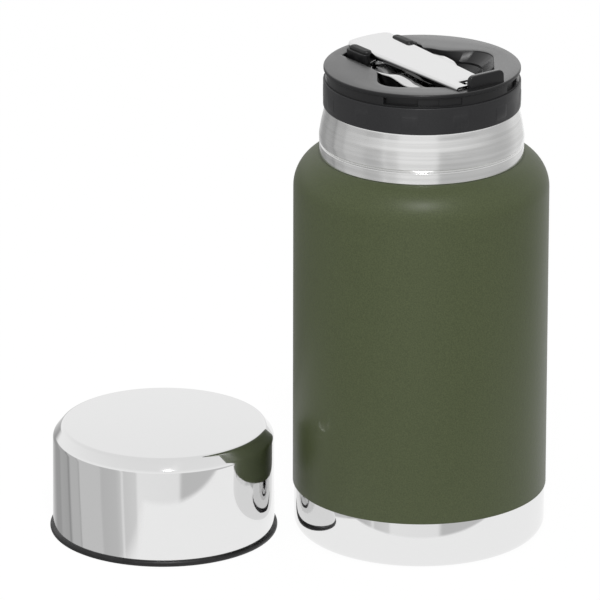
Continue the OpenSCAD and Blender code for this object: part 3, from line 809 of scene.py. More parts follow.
def merged(a, b, blend):
    """Union of two distances with a fillet: the lower one, less h^2 blend / 4 where they are close."""
    h = np.maximum(blend - np.abs(a - b), 0) / blend
    return np.minimum(a, b) - h * h * blend / 4


def reach(distance, centre, directions, farthest=36.0):
    """Distance from centre to an outline along each direction, by halving between in and out."""
    inside = np.zeros(len(directions))
    outside = np.full(len(directions), farthest)
    for _ in range(24):
        middle = (inside + outside) / 2
        at = centre + middle[:, None] * directions
        beyond = distance(at[:, 0], at[:, 1]) > 0
        outside = np.where(beyond, middle, outside)
        inside = np.where(beyond, inside, middle)
    return inside


# places in the spoon's frame: along the spoon from the jar's axis, and across it
WELL_CENTRE = (6.9, 1.1)
WELL_MAX_R = 29.0
LOFT_CENTRE = np.array((4.0, 0.8))
BOWL_MID = 3.0
BOWL_SKEW = 0.36
BOWL_POWER = 2.6
TROUGH_SHIFT = -2.5
TAB_SHIFT = 4.2


def bowl_distance(spoon):
    """Distance function of the room for the bowl, whose outline is |c|^p + |m|^p = 1.

    c and m are shares of its half length and of its half width, which falls along the spoon.
    """

    def distance(s, n):
        c = (s - BOWL_MID) / (spoon.bowl_l / 2 + 0.6)
        m = (n - SPOON_SHIFT) / (spoon.bowl_half * (1 - BOWL_SKEW * np.clip(c, -1, 1)) + 0.6)
        size = (np.abs(c) ** BOWL_POWER + np.abs(m) ** BOWL_POWER) ** (1 / BOWL_POWER)
        return (size - 1) * spoon.bowl_half

    return distance


def well_distance(p, spoon):
    """Distance function of the well: a square within a circle, joined to the bowl's outline."""
    bowl = bowl_distance(spoon)

    def distance(s, n):
        square = box_distance(s, n, WELL_CENTRE, (p.well_w / 2, p.well_w / 2), p.well_r, SPOON_TURN)
        square = np.maximum(square, np.hypot(s, n) - WELL_MAX_R)
        return merged(square, bowl(s, n), 1.5)

    return distance


def recess_distance(p, spoon, levels):
    """Distance function of everything cut into the disc: well, trough, handle channel and clip pockets."""
    well = well_distance(p, spoon)
    start, end = levels.trough_end, 5.0
    middle, half = (start + end) / 2, (end - start) / 2

    def distance(s, n):
        trough = box_distance(s, n, (middle, TROUGH_SHIFT), (half, p.trough_w / 2), p.trough_r)
        channel = np.maximum.reduce([
            np.abs(n - SPOON_SHIFT) - handle_half(s, spoon, levels) - 0.6,
            s - levels.tab_s, start + 1 - s])
        cuts = merged(merged(well(s, n), trough, 1.2), channel, 0.8)
        for side in (-1, 1):
            clip_n = SPOON_SHIFT + side * clip_middle(spoon, levels)
            ds = np.maximum(np.abs(s - levels.clips_s) - (spoon.clip_l - spoon.clip_w) / 2, 0)
            cuts = merged(cuts, np.hypot(ds, n - clip_n) - spoon.clip_w / 2 - 0.25, 0.8)
        return cuts

    return distance


def clip_middle(spoon, levels):
    """Distance of a clip's middle from the handle's, with 0.3 mm between clip and handle."""
    return handle_half(levels.clips_s - spoon.clip_l / 2, spoon, levels) + 0.3 + spoon.clip_w / 2


WINDOW_TURNS = (0, 84, 180, 264)


def window_depth(turn, z, low_z, high_z):
    """Depth of the snap windows at a height, round the band.

    A window is 0.8 mm deep from -24 to 23 degrees, 1.1 mm deeper up to -3.5 and 0.25 mm less from 9.3 on.
    """
    depth = 0
    upright = smooth(z, low_z, low_z + 0.1) * smooth(-z, -high_z, 0.1 - high_z)
    for middle in WINDOW_TURNS:
        local = np.mod(turn + 90 - middle + 180, 360) - 180
        wide = smooth(local, -24.2, -24) * smooth(-local, -23.2, -23)
        deep = smooth(local, -24.2, -24) * smooth(-local, 3.3, 3.5)
        depth = depth + (0.8 - 0.25 * smooth(local, 9.2, 9.4)) * wide + 1.1 * deep
    return depth * upright


def cover_skin(p, spoon, levels):
    """Skin of the stopper's top: rings round LOFT_CENTRE, each the reach of an outline in every direction.

    From the well's floor they run up its wall, over the trough's floor, up to the disc, out to its rim,
    down the band with its windows, in under it, and down the outside of the well's box. Where no trough
    or pocket widens the well, its wall slants from the bowl's outline on the floor to the opening's edge.
    """
    phi = np.linspace(0, 2 * np.pi, COVER_SIDES, endpoint=False)
    directions = np.column_stack([np.cos(phi), np.sin(phi)])
    well = well_distance(p, spoon)
    deep = reach(well, LOFT_CENTRE, directions)
    wide = np.maximum(reach(recess_distance(p, spoon, levels), LOFT_CENTRE, directions), deep + 0.02)
    case = reach(lambda s, n: well(s, n) - p.wall, LOFT_CENTRE, directions)
    ledge = np.minimum(0.5, (wide - deep) / 2)
    foot = np.minimum(reach(bowl_distance(spoon), LOFT_CENTRE, directions), deep)
    steep = smooth(wide - deep, 0.05, 1.5)

    def wall(radius, z):
        height = (z - levels.well_z) / (levels.disc_z - p.lip - levels.well_z)
        return radius * steep + (foot + (wide - foot) * height) * (1 - steep)

    drop = LOFT_CENTRE @ directions.T
    rows = []

    def ring(radius, z):
        flat = LOFT_CENTRE + radius[:, None] * directions
        rows.append(np.column_stack([flat, np.full(COVER_SIDES, z)]))

    def circle(radius):
        return -drop + np.sqrt(drop ** 2 - LOFT_CENTRE @ LOFT_CENTRE + radius ** 2)

    def bend(radius, z, out, up, steps=4, convex=False):
        for a in np.linspace(0, np.pi / 2, steps + 1):
            if convex:
                ring(radius + out * (1 - np.cos(a)), z + up * np.sin(a))
            else:
                ring(radius + out * np.sin(a), z + up * (1 - np.cos(a)))

    ring(foot * 0.6, levels.well_z)
    bend(wall(deep, levels.well_z + 1.2) - 1.2, levels.well_z, 1.2, 1.2)
    ledge_z = levels.trough_z - 0.3
    bend(wall(deep, ledge_z), ledge_z, ledge * 0.6, 0.3, steps=3, convex=True)
    bend(wall(wide - ledge * 0.7, levels.trough_z), levels.trough_z, ledge * 0.7, 0.35, steps=3)
    bend(wide, levels.disc_z - p.lip, p.lip, p.lip, convex=True)
    rim = circle(levels.disc_r)
    inner = wide + p.lip
    for t in (0.25, 0.6):
        ring(inner + (rim - 0.6 - inner) * t, levels.disc_z)
    for a in np.linspace(0, np.pi / 2, 5):
        ring(circle(levels.disc_r - 0.6 * (1 - np.sin(a))), levels.disc_z - 0.6 * (1 - np.cos(a)))
    under = levels.disc_z - p.disc_edge
    ring(circle(levels.disc_r), under + 0.15)
    ring(circle(levels.disc_r - 0.15), under)
    ring(circle(levels.band_r + 0.2), under)
    at = LOFT_CENTRE + rim[:, None] * directions
    spin = at / np.linalg.norm(at, axis=1)[:, None]
    world = spin @ np.array([SPOON_ALONG[:2], SPOON_ACROSS[:2]])
    turn = np.degrees(np.arctan2(world[:, 1], world[:, 0]))
    low_z, high_z = levels.collar_top + 0.5, under - 0.5
    heights = [under - 0.2, high_z, high_z - 0.1, *np.linspace(high_z - 0.6, low_z + 0.6, 3),
               low_z + 0.1, low_z, levels.collar_top + 0.2, levels.collar_top]
    for z in heights:
        radius = levels.band_r - window_depth(turn, z, low_z, high_z)
        rows.append(np.column_stack([spin * radius[:, None], np.full(COVER_SIDES, z)]))
    ring(case + 0.3, levels.collar_top)
    ring(case, levels.collar_top - 0.3)
    floor = levels.well_z - p.wall
    ring(case, floor + 0.8)
    ring(case - 0.8, floor)
    return placed_skin(rows, (*LOFT_CENTRE, levels.well_z), (*LOFT_CENTRE, floor), SPOON_FRAME)


def tab_skin(p, levels):
    """Skin of the end tab: a slab standing across the spoon, with a large radius on its corners."""
    root = 0.8
    half = p.tab_w / 2
    ring = outline((-half, -root), (half, -root), (half, p.tab_h, 2.4), (-half, p.tab_h, 2.4))
    origin = from_spoon((levels.tab_s, TAB_SHIFT, levels.disc_z))
    return slab_skin(ring, (0, p.tab_t), (0.5, 0.5), (origin, SPOON_ACROSS, SPOON_UP, SPOON_ALONG))


def stadium(x, y):
    """Counter-clockwise outline of a bar with round ends, from its half length and half width."""
    r = y * 0.998
    return outline((-x, -y, r), (x, -y, r), (x, y, r), (-x, y, r))


def clip_skins(spoon, levels):
    """Skins of the two clips: bars in their pockets, whose domed tops reach over the handle's edges."""
    skins = []
    far_end = levels.clips_s - spoon.clip_l / 2
    over = levels.disc_z + 0.45 + (PIN_S - far_end) * np.tan(spoon.tilt)
    post = (levels.trough_z, over + 0.15)
    head = (over, high("spoon_clips")[2])
    for side, lean, slim in ((-1, 1.0, 0.0), (1, 3.2, 1.0)):
        middle = SPOON_SHIFT + side * clip_middle(spoon, levels)
        for less, inward, heights, edges in (
                (slim, slim, post, (0.1, 0.3)), (0.3, lean, head, (0.25, 0.95))):
            ring = stadium(spoon.clip_l / 2 - less, spoon.clip_w / 2 - less)
            origin = from_spoon((levels.clips_s, middle - side * inward, 0))
            skins.append(slab_skin(ring, heights, edges, (origin, *SPOON_AXES), steps=7))
    return skins


def grip_pads(turn, low_z, high_z, z):
    """Raised grip pads from 0 to 1: twelve of 9 degrees, the first 8 degrees before the front."""
    local = np.mod(turn + 98 + 15, 30) - 15
    across = smooth(local, -4.9, -4.3) * smooth(-local, -4.9, -4.3)
    return across * smooth(z, low_z, low_z + 0.25) * smooth(-z, -high_z, 0.25 - high_z)


def collar_skin(p, v, levels):
    """Skin of the grip collar: ring with pads outside and four thread lugs inside."""
    low_z, top = levels.collar_z - 0.3, levels.collar_top
    pad_low, pad_high = levels.collar_z + 1.7, levels.collar_z + 6.6
    ceiling = top - 0.9
    outer = [(p.collar_r, z) for z in (pad_low, pad_low + 0.12, pad_low + 0.25,
                                       pad_high - 0.25, pad_high - 0.12, pad_high)]
    inner = [(p.bore_r, z) for z in np.arange(ceiling - 3.4, low_z + 2.25, -0.13)]
    profile = outline(
        (p.collar_r - 0.2, low_z, 0.08), (p.collar_r, low_z + 0.4, 0.3), *outer, (p.collar_r, top, 0.45),
        (30.5, top), (30.5, ceiling), (p.bore_r, ceiling, 0.4), *inner, (p.bore_r, low_z + 2.2, 0.3),
        (high("stopper_plug")[0] + 1.42, low_z, 0.08))
    lug_z = rib_start() - LUG_DROP
    lug_out = p.bore_r - v.thread_r - 0.5

    def push(turn, r, z):
        pads = grip_pads(turn, pad_low, pad_high, z) * (r > p.collar_r - 0.01) * p.grip_out
        lugs = thread_rib(turn, z, lug_z, LUG_ARC)
        return r + pads - lugs * (np.abs(r - p.bore_r) < 0.01) * lug_out

    return ring_skin(profile, COLLAR_SIDES, push)


def plug_profile(p, levels):
    """Open profile of the plug from the axis: floor, round edge, side, flange, and the inside."""
    low_z, top = low("stopper_plug")[2], levels.flange_z
    flange_r = high("stopper_plug")[0]
    inner = p.plug_r - p.wall
    return outline(
        (0, low_z), (p.plug_r, low_z, 2), (p.plug_r, top - 0.8, 0.2), (flange_r, top - 0.8, 0.15),
        (flange_r, top, 0.15), (inner, top, 0.1), (inner, low_z + p.wall, 1), (0, low_z + p.wall),
        closed=False)


def gasket_profile():
    """Closed profile of the gasket: a flat ring whose outer half swells into a lip."""
    r, _, top = high("stopper_gasket")
    low_z = low("stopper_gasket")[2]
    inner = r - 2.2
    return outline(
        (inner, low_z + 0.1, 0.1), (r - 1.0, low_z + 0.15, 0.3), (r - 0.5, low_z, 0.2), (r, low_z, 0.3),
        (r, top, 0.3), (r - 0.5, top, 0.2), (r - 1.0, top - 0.15, 0.3), (inner, top - 0.1, 0.1))


# ---------------------------------------------------------------- the spoon


def handle_frame(spoon):
    """Origin and axes of the stowed handle: at the pin, with the handle's slope."""
    c, s = np.cos(spoon.tilt), np.sin(spoon.tilt)
    along = SPOON_ALONG * c - SPOON_UP * s
    up = SPOON_ALONG * s + SPOON_UP * c
    return PIN, along, SPOON_ACROSS, up


# the plate's top over the pin, the free end's arc and corners, the window, and the ears round the pin
HANDLE_PLATE = 2.5
HANDLE_END_R = 35.0
HANDLE_CORNER_R = 3.0
HANDLE_WINDOW = (27.2, 31.2)
HANDLE_WINDOW_HALF = 3.2
EAR_R = 1.6
EAR_TOP = 2.0
EAR_HOLE_R = 0.75


def handle_skin(spoon, levels):
    """Outer surface of the handle: an upside-down channel carried along stations.

    Across, a column runs up the flange, round the bend, over the plate and down again. Along, a column
    starts on the free end's outline, an arc about the jar's axis with round corners, and ends at the
    hinge end. Faces over the window are left out.
    """
    end = levels.handle_end
    fine_end = 10 - HANDLE_END_R
    stations = np.unique(np.round(np.concatenate([
        -HANDLE_END_R + 10 * np.linspace(0, 1, 26) ** 1.5, np.linspace(fine_end, HANDLE_WINDOW[0], 22),
        np.linspace(*HANDLE_WINDOW, 7), np.linspace(HANDLE_WINDOW[1], end, 3)]), 6))
    bend = spoon.bend_r
    window = HANDLE_WINDOW_HALF / (handle_half(np.mean(HANDLE_WINDOW), spoon, levels) - bend)
    flat = np.concatenate([np.linspace(-1, -window, 9), np.linspace(-window, window, 9)[1:-1],
                           np.linspace(window, 1, 9)])
    a = np.linspace(0, np.pi / 2, 6)[:-1]
    down = np.linspace(1, 0, 4)[:-1]
    # share of the plate, of the bend's width, of the bend's drop and of the flange's drop, per column
    plate = np.concatenate([-np.ones(8), flat, np.ones(8)])
    wide = np.concatenate([-np.ones(3), -np.cos(a), 0 * flat, np.cos(a[::-1]), np.ones(3)])
    curl = np.concatenate([np.ones(3), 1 - np.sin(a), 0 * flat, 1 - np.sin(a[::-1]), np.ones(3)])
    below = np.concatenate([down, np.zeros(5), 0 * flat, np.zeros(5), down[::-1]])
    s0 = stations[:, None]
    half = handle_half(s0, spoon, levels)
    n = plate * (half - bend) + wide * bend
    corner_n = handle_half(-HANDLE_END_R, spoon, levels) - HANDLE_CORNER_R
    shift = SPOON_SHIFT * np.where(n < 0, -1, 1)
    core_r = HANDLE_END_R - HANDLE_CORNER_R
    corner_s = -np.sqrt(core_r ** 2 - (corner_n + shift) ** 2)
    over = np.clip(np.abs(n) - corner_n, 0, HANDLE_CORNER_R)
    free = np.where(np.abs(n) < (corner_n + shift) * HANDLE_END_R / core_r - shift,
                    -np.sqrt(HANDLE_END_R ** 2 - (n + SPOON_SHIFT) ** 2),
                    corner_s - np.sqrt(HANDLE_CORNER_R ** 2 - over ** 2))
    s = free + (s0 + HANDLE_END_R) * (end - free) / (end + HANDLE_END_R)
    flange = spoon.flange * (0.62 + 0.33 * smooth(s, -4, 15))
    deep = (flange - bend) * smooth(s, -30.8, -29.4) + 0.02
    h = HANDLE_PLATE - curl * bend - below * deep
    grid = place(np.stack([s - PIN_S, n, h], axis=-1), *handle_frame(spoon))
    rows, columns = n.shape
    points, faces = skin(grid, around=False, solid=False)
    faces = np.array(faces).reshape(rows - 1, columns - 1, 4)
    row_mid = (s0[1:, 0] + s0[:-1, 0]) / 2
    column_mid = np.concatenate([np.full(8, -2.0), (flat[1:] + flat[:-1]) / 2, np.full(8, 2.0)])
    in_rows = (row_mid > HANDLE_WINDOW[0]) & (row_mid < HANDLE_WINDOW[1])
    hole = in_rows[:, None] & (np.abs(column_mid) < window)
    return points, faces[~hole].tolist()


def ear_skins(spoon, levels):
    """Skins of the ears and the end wall.

    An ear is a plate with a hole round the pin, round below and straight up to the handle's plate. The
    wall closes the hinge end between them.
    """
    origin, along, across, up = handle_frame(spoon)
    a = np.linspace(0, 2 * np.pi, EAR_SIDES, endpoint=False)
    to_side, to_top = EAR_R / np.maximum(np.abs(np.cos(a)), 1e-6), EAR_TOP / np.maximum(np.sin(a), 1e-6)
    outer = np.where(np.sin(a) > 0, np.minimum(to_side, to_top), EAR_R)
    hole = np.full(EAR_SIDES, EAR_HOLE_R)
    skins = []
    for side in (-1, 1):
        n_out, n_in = spoon.hinge_half * side, (spoon.hinge_half - spoon.sheet) * side
        rows = [(hole, n_out - 0.1 * side), (hole + 0.1, n_out), (outer - 0.12, n_out),
                (outer, n_out - 0.12 * side), (outer, n_in + 0.12 * side), (outer - 0.12, n_in),
                (hole + 0.1, n_in), (hole, n_in + 0.1 * side)]
        grid = [np.column_stack([r * np.cos(a), np.full(EAR_SIDES, n), r * np.sin(a)]) for r, n in rows]
        skins.append(skin(place(grid, origin, along, across, up), loop=True))
    half, top = spoon.hinge_half - 0.02, HANDLE_PLATE - 0.03
    ring = outline((-half, 0.7), (half, 0.7), (half, top, 0.5), (-half, top, 0.5))
    end = levels.tab_s - PIN_S
    skins.append(slab_skin(ring, (end - 0.9, end - 0.26), (0.1, 0.2), (origin, across, up, along)))
    return skins


# heights over the pin of the ridge, the scoop's rim and the shoulder's rim, and the scoop's hollow
RIDGE_UP = 0.95
SCOOP_RIM_UP = 1.0
SHOULDER_RIM_UP = -1.3
CAVITY_MIDDLE = (-7.5, -0.8)
CAVITY_HALF = (11.2, 15.4)


def bowl_skin(spoon):
    """Skin of the spoon's end: a scoop by its tip, and a broad shoulder like a low roof by the hinge.

    Both faces are made of the outline shrunk by cos b. From the rim, which is high round the scoop and low
    round the shoulder, the height goes to the ridge's by sin^2 b. The scoop sinks by the depth times a
    smooth step of 1 - u^2 - v^2, u and v measured from the scoop's middle.
    """
    a = np.linspace(0, 2 * np.pi, BOWL_SIDES, endpoint=False)
    c, m = (np.sign(x) * np.abs(x) ** (2 / BOWL_POWER) for x in (np.cos(a), np.sin(a)))
    wide = spoon.bowl_half * (1 - BOWL_SKEW * c)

    def row(b, inward, up):
        s = BOWL_MID + (spoon.bowl_l / 2 - inward) * np.cos(b) * c
        n = (wide - inward) * np.cos(b) * m
        u, v = (s - CAVITY_MIDDLE[0]) / CAVITY_HALF[0], (n - CAVITY_MIDDLE[1]) / CAVITY_HALF[1]
        sink = (spoon.bowl_depth - spoon.sheet) * smooth(1 - u ** 2 - v ** 2, 0, 0.8)
        rim = SCOOP_RIM_UP + (SHOULDER_RIM_UP - SCOOP_RIM_UP) * smooth(s, 0, 9)
        z = PIN[2] + rim + (RIDGE_UP - rim) * np.sin(b) ** 2 - sink + up
        return np.column_stack([s, SPOON_SHIFT + n, z])

    turns = np.linspace(0, np.pi / 2, 40)[:-1]
    outer = [row(b, 0, -spoon.sheet) for b in turns[::-1]]
    edge = [row(0, 0, -0.3), row(0, 0.2, -0.05)]
    inner = [row(b, 0.45, 0) for b in turns]
    return placed_skin(outer + edge + inner, outer[0].mean(axis=0), inner[-1].mean(axis=0), SPOON_FRAME)


def tongue_skin():
    """Skin of the tongue: a sheet from the bowl, rolled round the pin into a knuckle that fills the window.

    The sheet's middle line is given by points (s, z); both faces lie half the thickness from it.
    """
    thick = 1.1
    roll_r = 1.42
    low_z = 0.35
    half = HANDLE_WINDOW_HALF - 0.3
    straight = np.linspace(-8.6, 0, 20)
    rise = low_z + (roll_r - low_z) * smooth(straight, -2.6, 0)
    roll = np.radians(np.linspace(90, -190, 34))[1:]
    line = np.concatenate([np.column_stack([straight, rise]),
                           np.column_stack([roll_r * np.cos(roll), roll_r * np.sin(roll)])])
    tangent = np.gradient(line, axis=0)
    tangent /= np.linalg.norm(tangent, axis=1)[:, None]
    normal = np.column_stack([-tangent[:, 1], tangent[:, 0]])
    loop = np.concatenate([line + normal * thick / 2, (line - normal * thick / 2)[::-1]])
    wide = np.linspace(-half, half, 3)
    grid = [np.column_stack([loop[:, 0], np.full(len(loop), n), loop[:, 1]]) for n in wide]
    points, faces = skin(place(grid, PIN, *SPOON_AXES), solid=False)
    count = len(line)
    ends = []
    for base, flip in ((0, False), (2 * len(loop), True)):
        k = np.arange(count - 1)
        back = base + 2 * count - 1 - k
        strip = np.stack([base + k, base + k + 1, back - 1, back], axis=-1)
        ends += (strip[:, ::-1] if flip else strip).tolist()
    return points, faces + ends


def pin_skin(spoon):
    """Skin of the hinge pin: a rod across the spoon with a low dome on each end."""
    r = half_size("spoon_pin", axis=2)
    half, tip = spoon.hinge_half, spoon.hinge_half + 0.25
    profile = outline((0, -tip), (r * 0.8, -half - 0.2, 0.3), (r, -half, 0.15), (r, half, 0.15),
                      (r * 0.8, half + 0.2, 0.3), (0, tip), closed=False)
    where = (PIN, SPOON_ALONG, SPOON_UP, SPOON_ACROSS)
    return placed_skin(revolve(profile[1:-1], PIN_SIDES), (0, 0, -tip), (0, 0, tip), where)


# ---------------------------------------------------------------- the cap


# how far the cap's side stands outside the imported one
CAP_PROUD = 0.35


def cap_centre():
    """Middle of the cap, from its ring."""
    return (high("cap_ring")[:2] + low("cap_ring")[:2]) / 2


def cap_profile(c):
    """Open profile of the cap's shell from the axis: the inside, the foot, side, slope and top.

    Its side is CAP_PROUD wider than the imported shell's, and still within the rubber ring.
    """
    r = half_size("cap_shell") + CAP_PROUD
    top, foot = high("cap_shell")[2], low("cap_shell")[2]
    bend_r, bend_z = r - c.taper, top - c.slope_h
    w = c.wall
    return outline(
        (0, top - w), (bend_r - c.slope_w - 0.3, top - w, 1), (bend_r - w, bend_z - 0.3, 1),
        (r - w, foot, 0.1), (r, foot, 0.1), (bend_r, bend_z, c.slope_edge_r),
        (bend_r - c.slope_w, top, c.top_edge_r), (0, top), closed=False)


def sleeve_skin(c):
    """Skin of the sleeve inside the cap, with four lugs of 20 degrees that snap into the stopper."""
    r = half_size("cap_sleeve")
    low_z, top = low("cap_sleeve")[2], high("cap_sleeve")[2]
    inner = r - c.sleeve_wall
    lug_z = high("stopper_collar")[2] - high("outer_shell")[2] + 2.1
    lug_top = lug_z + 1.6
    lug_r = 36.9
    rows = [(inner, z) for z in (lug_top, lug_top - 0.3, lug_z + 0.3, lug_z)]
    profile = outline((inner, low_z, 0.4), (r, low_z, 0.4), (r, top, 0.3), (inner, top, 0.3), *rows)

    def push(turn, radius, z):
        local = np.mod(turn + 45, 90) - 45
        across = smooth(local, -10.4, -9.6) * smooth(-local, -10.4, -9.6)
        upright = smooth(z, lug_z - 0.01, lug_z + 0.3) * smooth(-z, -lug_top - 0.01, 0.3 - lug_top)
        return radius - across * upright * (radius < inner + 0.01) * (inner - lug_r)

    return ring_skin(profile, SLEEVE_SIDES, push, cap_centre())


def rubber_profile(c):
    """Closed profile of the rubber ring: a round section cut flat where it stands, open over the sheet."""
    middle = half_size("cap_ring") - c.ring_r
    z = high("cap_ring")[2] - c.ring_r
    a = np.radians(np.linspace(-52, 232, 41))
    ring = np.column_stack([middle + c.ring_r * np.cos(a), z + c.ring_r * np.sin(a)])
    ring[:, 1] = np.maximum(ring[:, 1], 0)
    return ring


# ---------------------------------------------------------------- operators


class BuildPiece:
    """What the operators share: the sizes and finishes of the scene."""

    bl_options = {"REGISTER", "UNDO"}

    def read(self, context):
        jar = context.scene.food_jar
        self.vessel, self.stopper, self.spoon, self.cap, self.finishes = (
            sizes(getattr(jar, name)) for name in GROUPS)
        self.levels = stopper_levels(self.stopper)


class FOODJAR_OT_shell(BuildPiece, bpy.types.Operator):
    """Builds the powder-coated outer shell"""

    bl_idname = "food_jar.shell"
    bl_label = "Painted shell"

    def execute(self, context):
        self.read(context)
        finish = green_coat(self.finishes)
        make("painted_shell", "outer_shell", finish, [ring_skin(shell_profile(self.vessel), ROUND_SIDES)])
        return {"FINISHED"}


class FOODJAR_OT_foot(BuildPiece, bpy.types.Operator):
    """Builds the polished foot"""

    bl_idname = "food_jar.foot"
    bl_label = "Polished foot"

    def execute(self, context):
        self.read(context)
        finish = mirror_steel(self.finishes, "polished_foot_steel")
        make("polished_foot", "base_cup", finish, [cup_skin(foot_profile(self.vessel), ROUND_SIDES)])
        return {"FINISHED"}


class FOODJAR_OT_neck(BuildPiece, bpy.types.Operator):
    """Builds the turned neck with its thread"""

    bl_idname = "food_jar.neck"
    bl_label = "Turned neck"

    def execute(self, context):
        self.read(context)
        v = self.vessel
        start = rib_start()

        def push(turn, r, z):
            rib = thread_rib(turn, z, start, RIB_ARC)
            return r + rib * (np.abs(r - v.thread_r) < 0.01) * v.rib_h

        make("turned_neck", "neck", turned_steel(), [ring_skin(neck_profile(v), NECK_SIDES, push)])
        return {"FINISHED"}


class FOODJAR_OT_liner(BuildPiece, bpy.types.Operator):
    """Builds the inner liner"""

    bl_idname = "food_jar.liner"
    bl_label = "Liner"

    def execute(self, context):
        self.read(context)
        skins = [cup_skin(liner_profile(self.vessel), HIDDEN_SIDES)]
        make("steel_liner", "inner_liner", liner_steel(), skins)
        return {"FINISHED"}


class FOODJAR_OT_insulation(BuildPiece, bpy.types.Operator):
    """Finishes the hidden insulation pieces, which keep their shapes"""

    bl_idname = "food_jar.insulation"
    bl_label = "Insulation"

    def execute(self, context):
        finishes = {"heat_shield": copper_foil(), "vacuum_base": raw_steel(),
                    "vacuum_seal": sealing_glass(), "getter": sintered_metal(),
                    "stopper_foam": white_foam()}
        for node, finish in finishes.items():
            piece = frame["nodes"][node]
            piece.data.materials.clear()
            piece.data.materials.append(finish)
        return {"FINISHED"}


class FOODJAR_OT_seal(BuildPiece, bpy.types.Operator):
    """Builds the silicone gasket"""

    bl_idname = "food_jar.seal"
    bl_label = "Gasket"

    def execute(self, context):
        skins = [ring_skin(gasket_profile(), HIDDEN_SIDES)]
        make("silicone_gasket", "stopper_gasket", clear_silicone(), skins)
        return {"FINISHED"}


class FOODJAR_OT_plug(BuildPiece, bpy.types.Operator):
    """Builds the stopper's plug"""

    bl_idname = "food_jar.plug"
    bl_label = "Plug"

    def execute(self, context):
        self.read(context)
        skins = [cup_skin(plug_profile(self.stopper, self.levels), PLUG_SIDES)]
        make("moulded_plug", "stopper_plug", matt_plastic(self.finishes), skins)
        return {"FINISHED"}


class FOODJAR_OT_collar(BuildPiece, bpy.types.Operator):
    """Builds the grip collar with its pads and thread lugs"""

    bl_idname = "food_jar.collar"
    bl_label = "Grip collar"

    def execute(self, context):
        self.read(context)
        skins = [collar_skin(self.stopper, self.vessel, self.levels)]
        make("grip_collar", "stopper_collar", matt_plastic(self.finishes), skins)
        return {"FINISHED"}


class FOODJAR_OT_top(BuildPiece, bpy.types.Operator):
    """Builds the stopper's top with its recesses, windows and end tab"""

    bl_idname = "food_jar.top"
    bl_label = "Stopper top"

    def execute(self, context):
        self.read(context)
        skins = [cover_skin(self.stopper, self.spoon, self.levels), tab_skin(self.stopper, self.levels)]
        make("stopper_top", "stopper_cover", satin_plastic(self.finishes), skins)
        return {"FINISHED"}


class FOODJAR_OT_clips(BuildPiece, bpy.types.Operator):
    """Builds the rubber clips that hold the handle"""

    bl_idname = "food_jar.clips"
    bl_label = "Clips"

    def execute(self, context):
        self.read(context)
        skins = clip_skins(self.spoon, self.levels)
        make("rubber_clips", "spoon_clips", black_rubber(self.finishes), skins)
        return {"FINISHED"}


class FOODJAR_OT_handle(BuildPiece, bpy.types.Operator):
    """Builds the spoon's folding handle with its ears"""

    bl_idname = "food_jar.handle"
    bl_label = "Spoon handle"

    def execute(self, context):
        self.read(context)
        finish = spoon_steel(self.finishes, "handle_steel")
        piece = make("folding_handle", "spoon_handle", finish, [handle_skin(self.spoon, self.levels)])
        solid = piece.modifiers.new("thickness", "SOLIDIFY")
        solid.thickness = self.spoon.sheet * MM
        solid.offset = -1
        solid.use_rim = True
        edge = piece.modifiers.new("edges", "BEVEL")
        edge.width = 0.12 * MM
        edge.segments = 2
        edge.limit_method = "ANGLE"
        edge.angle_limit = np.radians(50)
        make("handle_ears", "spoon_handle", finish, ear_skins(self.spoon, self.levels))
        return {"FINISHED"}


class FOODJAR_OT_bowl(BuildPiece, bpy.types.Operator):
    """Builds the spoon's bowl and its rolled tongue"""

    bl_idname = "food_jar.bowl"
    bl_label = "Spoon bowl"

    def execute(self, context):
        self.read(context)
        finish = spoon_steel(self.finishes, "bowl_steel")
        make("spoon_bowl_sheet", "spoon_bowl", finish, [bowl_skin(self.spoon), tongue_skin()])
        return {"FINISHED"}


class FOODJAR_OT_pin(BuildPiece, bpy.types.Operator):
    """Builds the hinge pin"""

    bl_idname = "food_jar.pin"
    bl_label = "Hinge pin"

    def execute(self, context):
        self.read(context)
        make("hinge_pin", "spoon_pin", raw_steel(), [pin_skin(self.spoon)])
        return {"FINISHED"}


class FOODJAR_OT_cap(BuildPiece, bpy.types.Operator):
    """Builds the polished cap, its sleeve and its rubber ring"""

    bl_idname = "food_jar.cap"
    bl_label = "Cap"

    def execute(self, context):
        self.read(context)
        centre = cap_centre()
        finish = mirror_steel(self.finishes, "polished_cap_steel", centre=(*centre, 0))
        shell = cup_skin(cap_profile(self.cap), ROUND_SIDES, centre=centre)
        make("polished_cap", "cap_shell", finish, [shell])
        make("cap_lining", "cap_sleeve", matt_plastic(self.finishes), [sleeve_skin(self.cap)])
        ring = ring_skin(rubber_profile(self.cap), ROUND_SIDES, centre=centre)
        make("rubber_ring", "cap_ring", black_rubber(self.finishes), [ring])
        return {"FINISHED"}


class FOODJAR_OT_stage(bpy.types.Operator):
    """Sets the camera, the floor and the soft studio light"""

    bl_idname = "food_jar.stage"
    bl_label = "Camera, floor and light"

    def execute(self, context):
        set_camera()
        set_floor()
        set_light()
        return {"FINISHED"}


# ---------------------------------------------------------------- camera, floor and light


# the camera fitted to the photograph, in metres and degrees
CAMERA_DISTANCE = 3.0128
CAMERA_ELEVATION = 19.806
CAMERA_ROLL = 0.113
CAMERA_TARGET = (-0.045938, 0.0, 0.091657)
CAMERA_LENS = 473.98


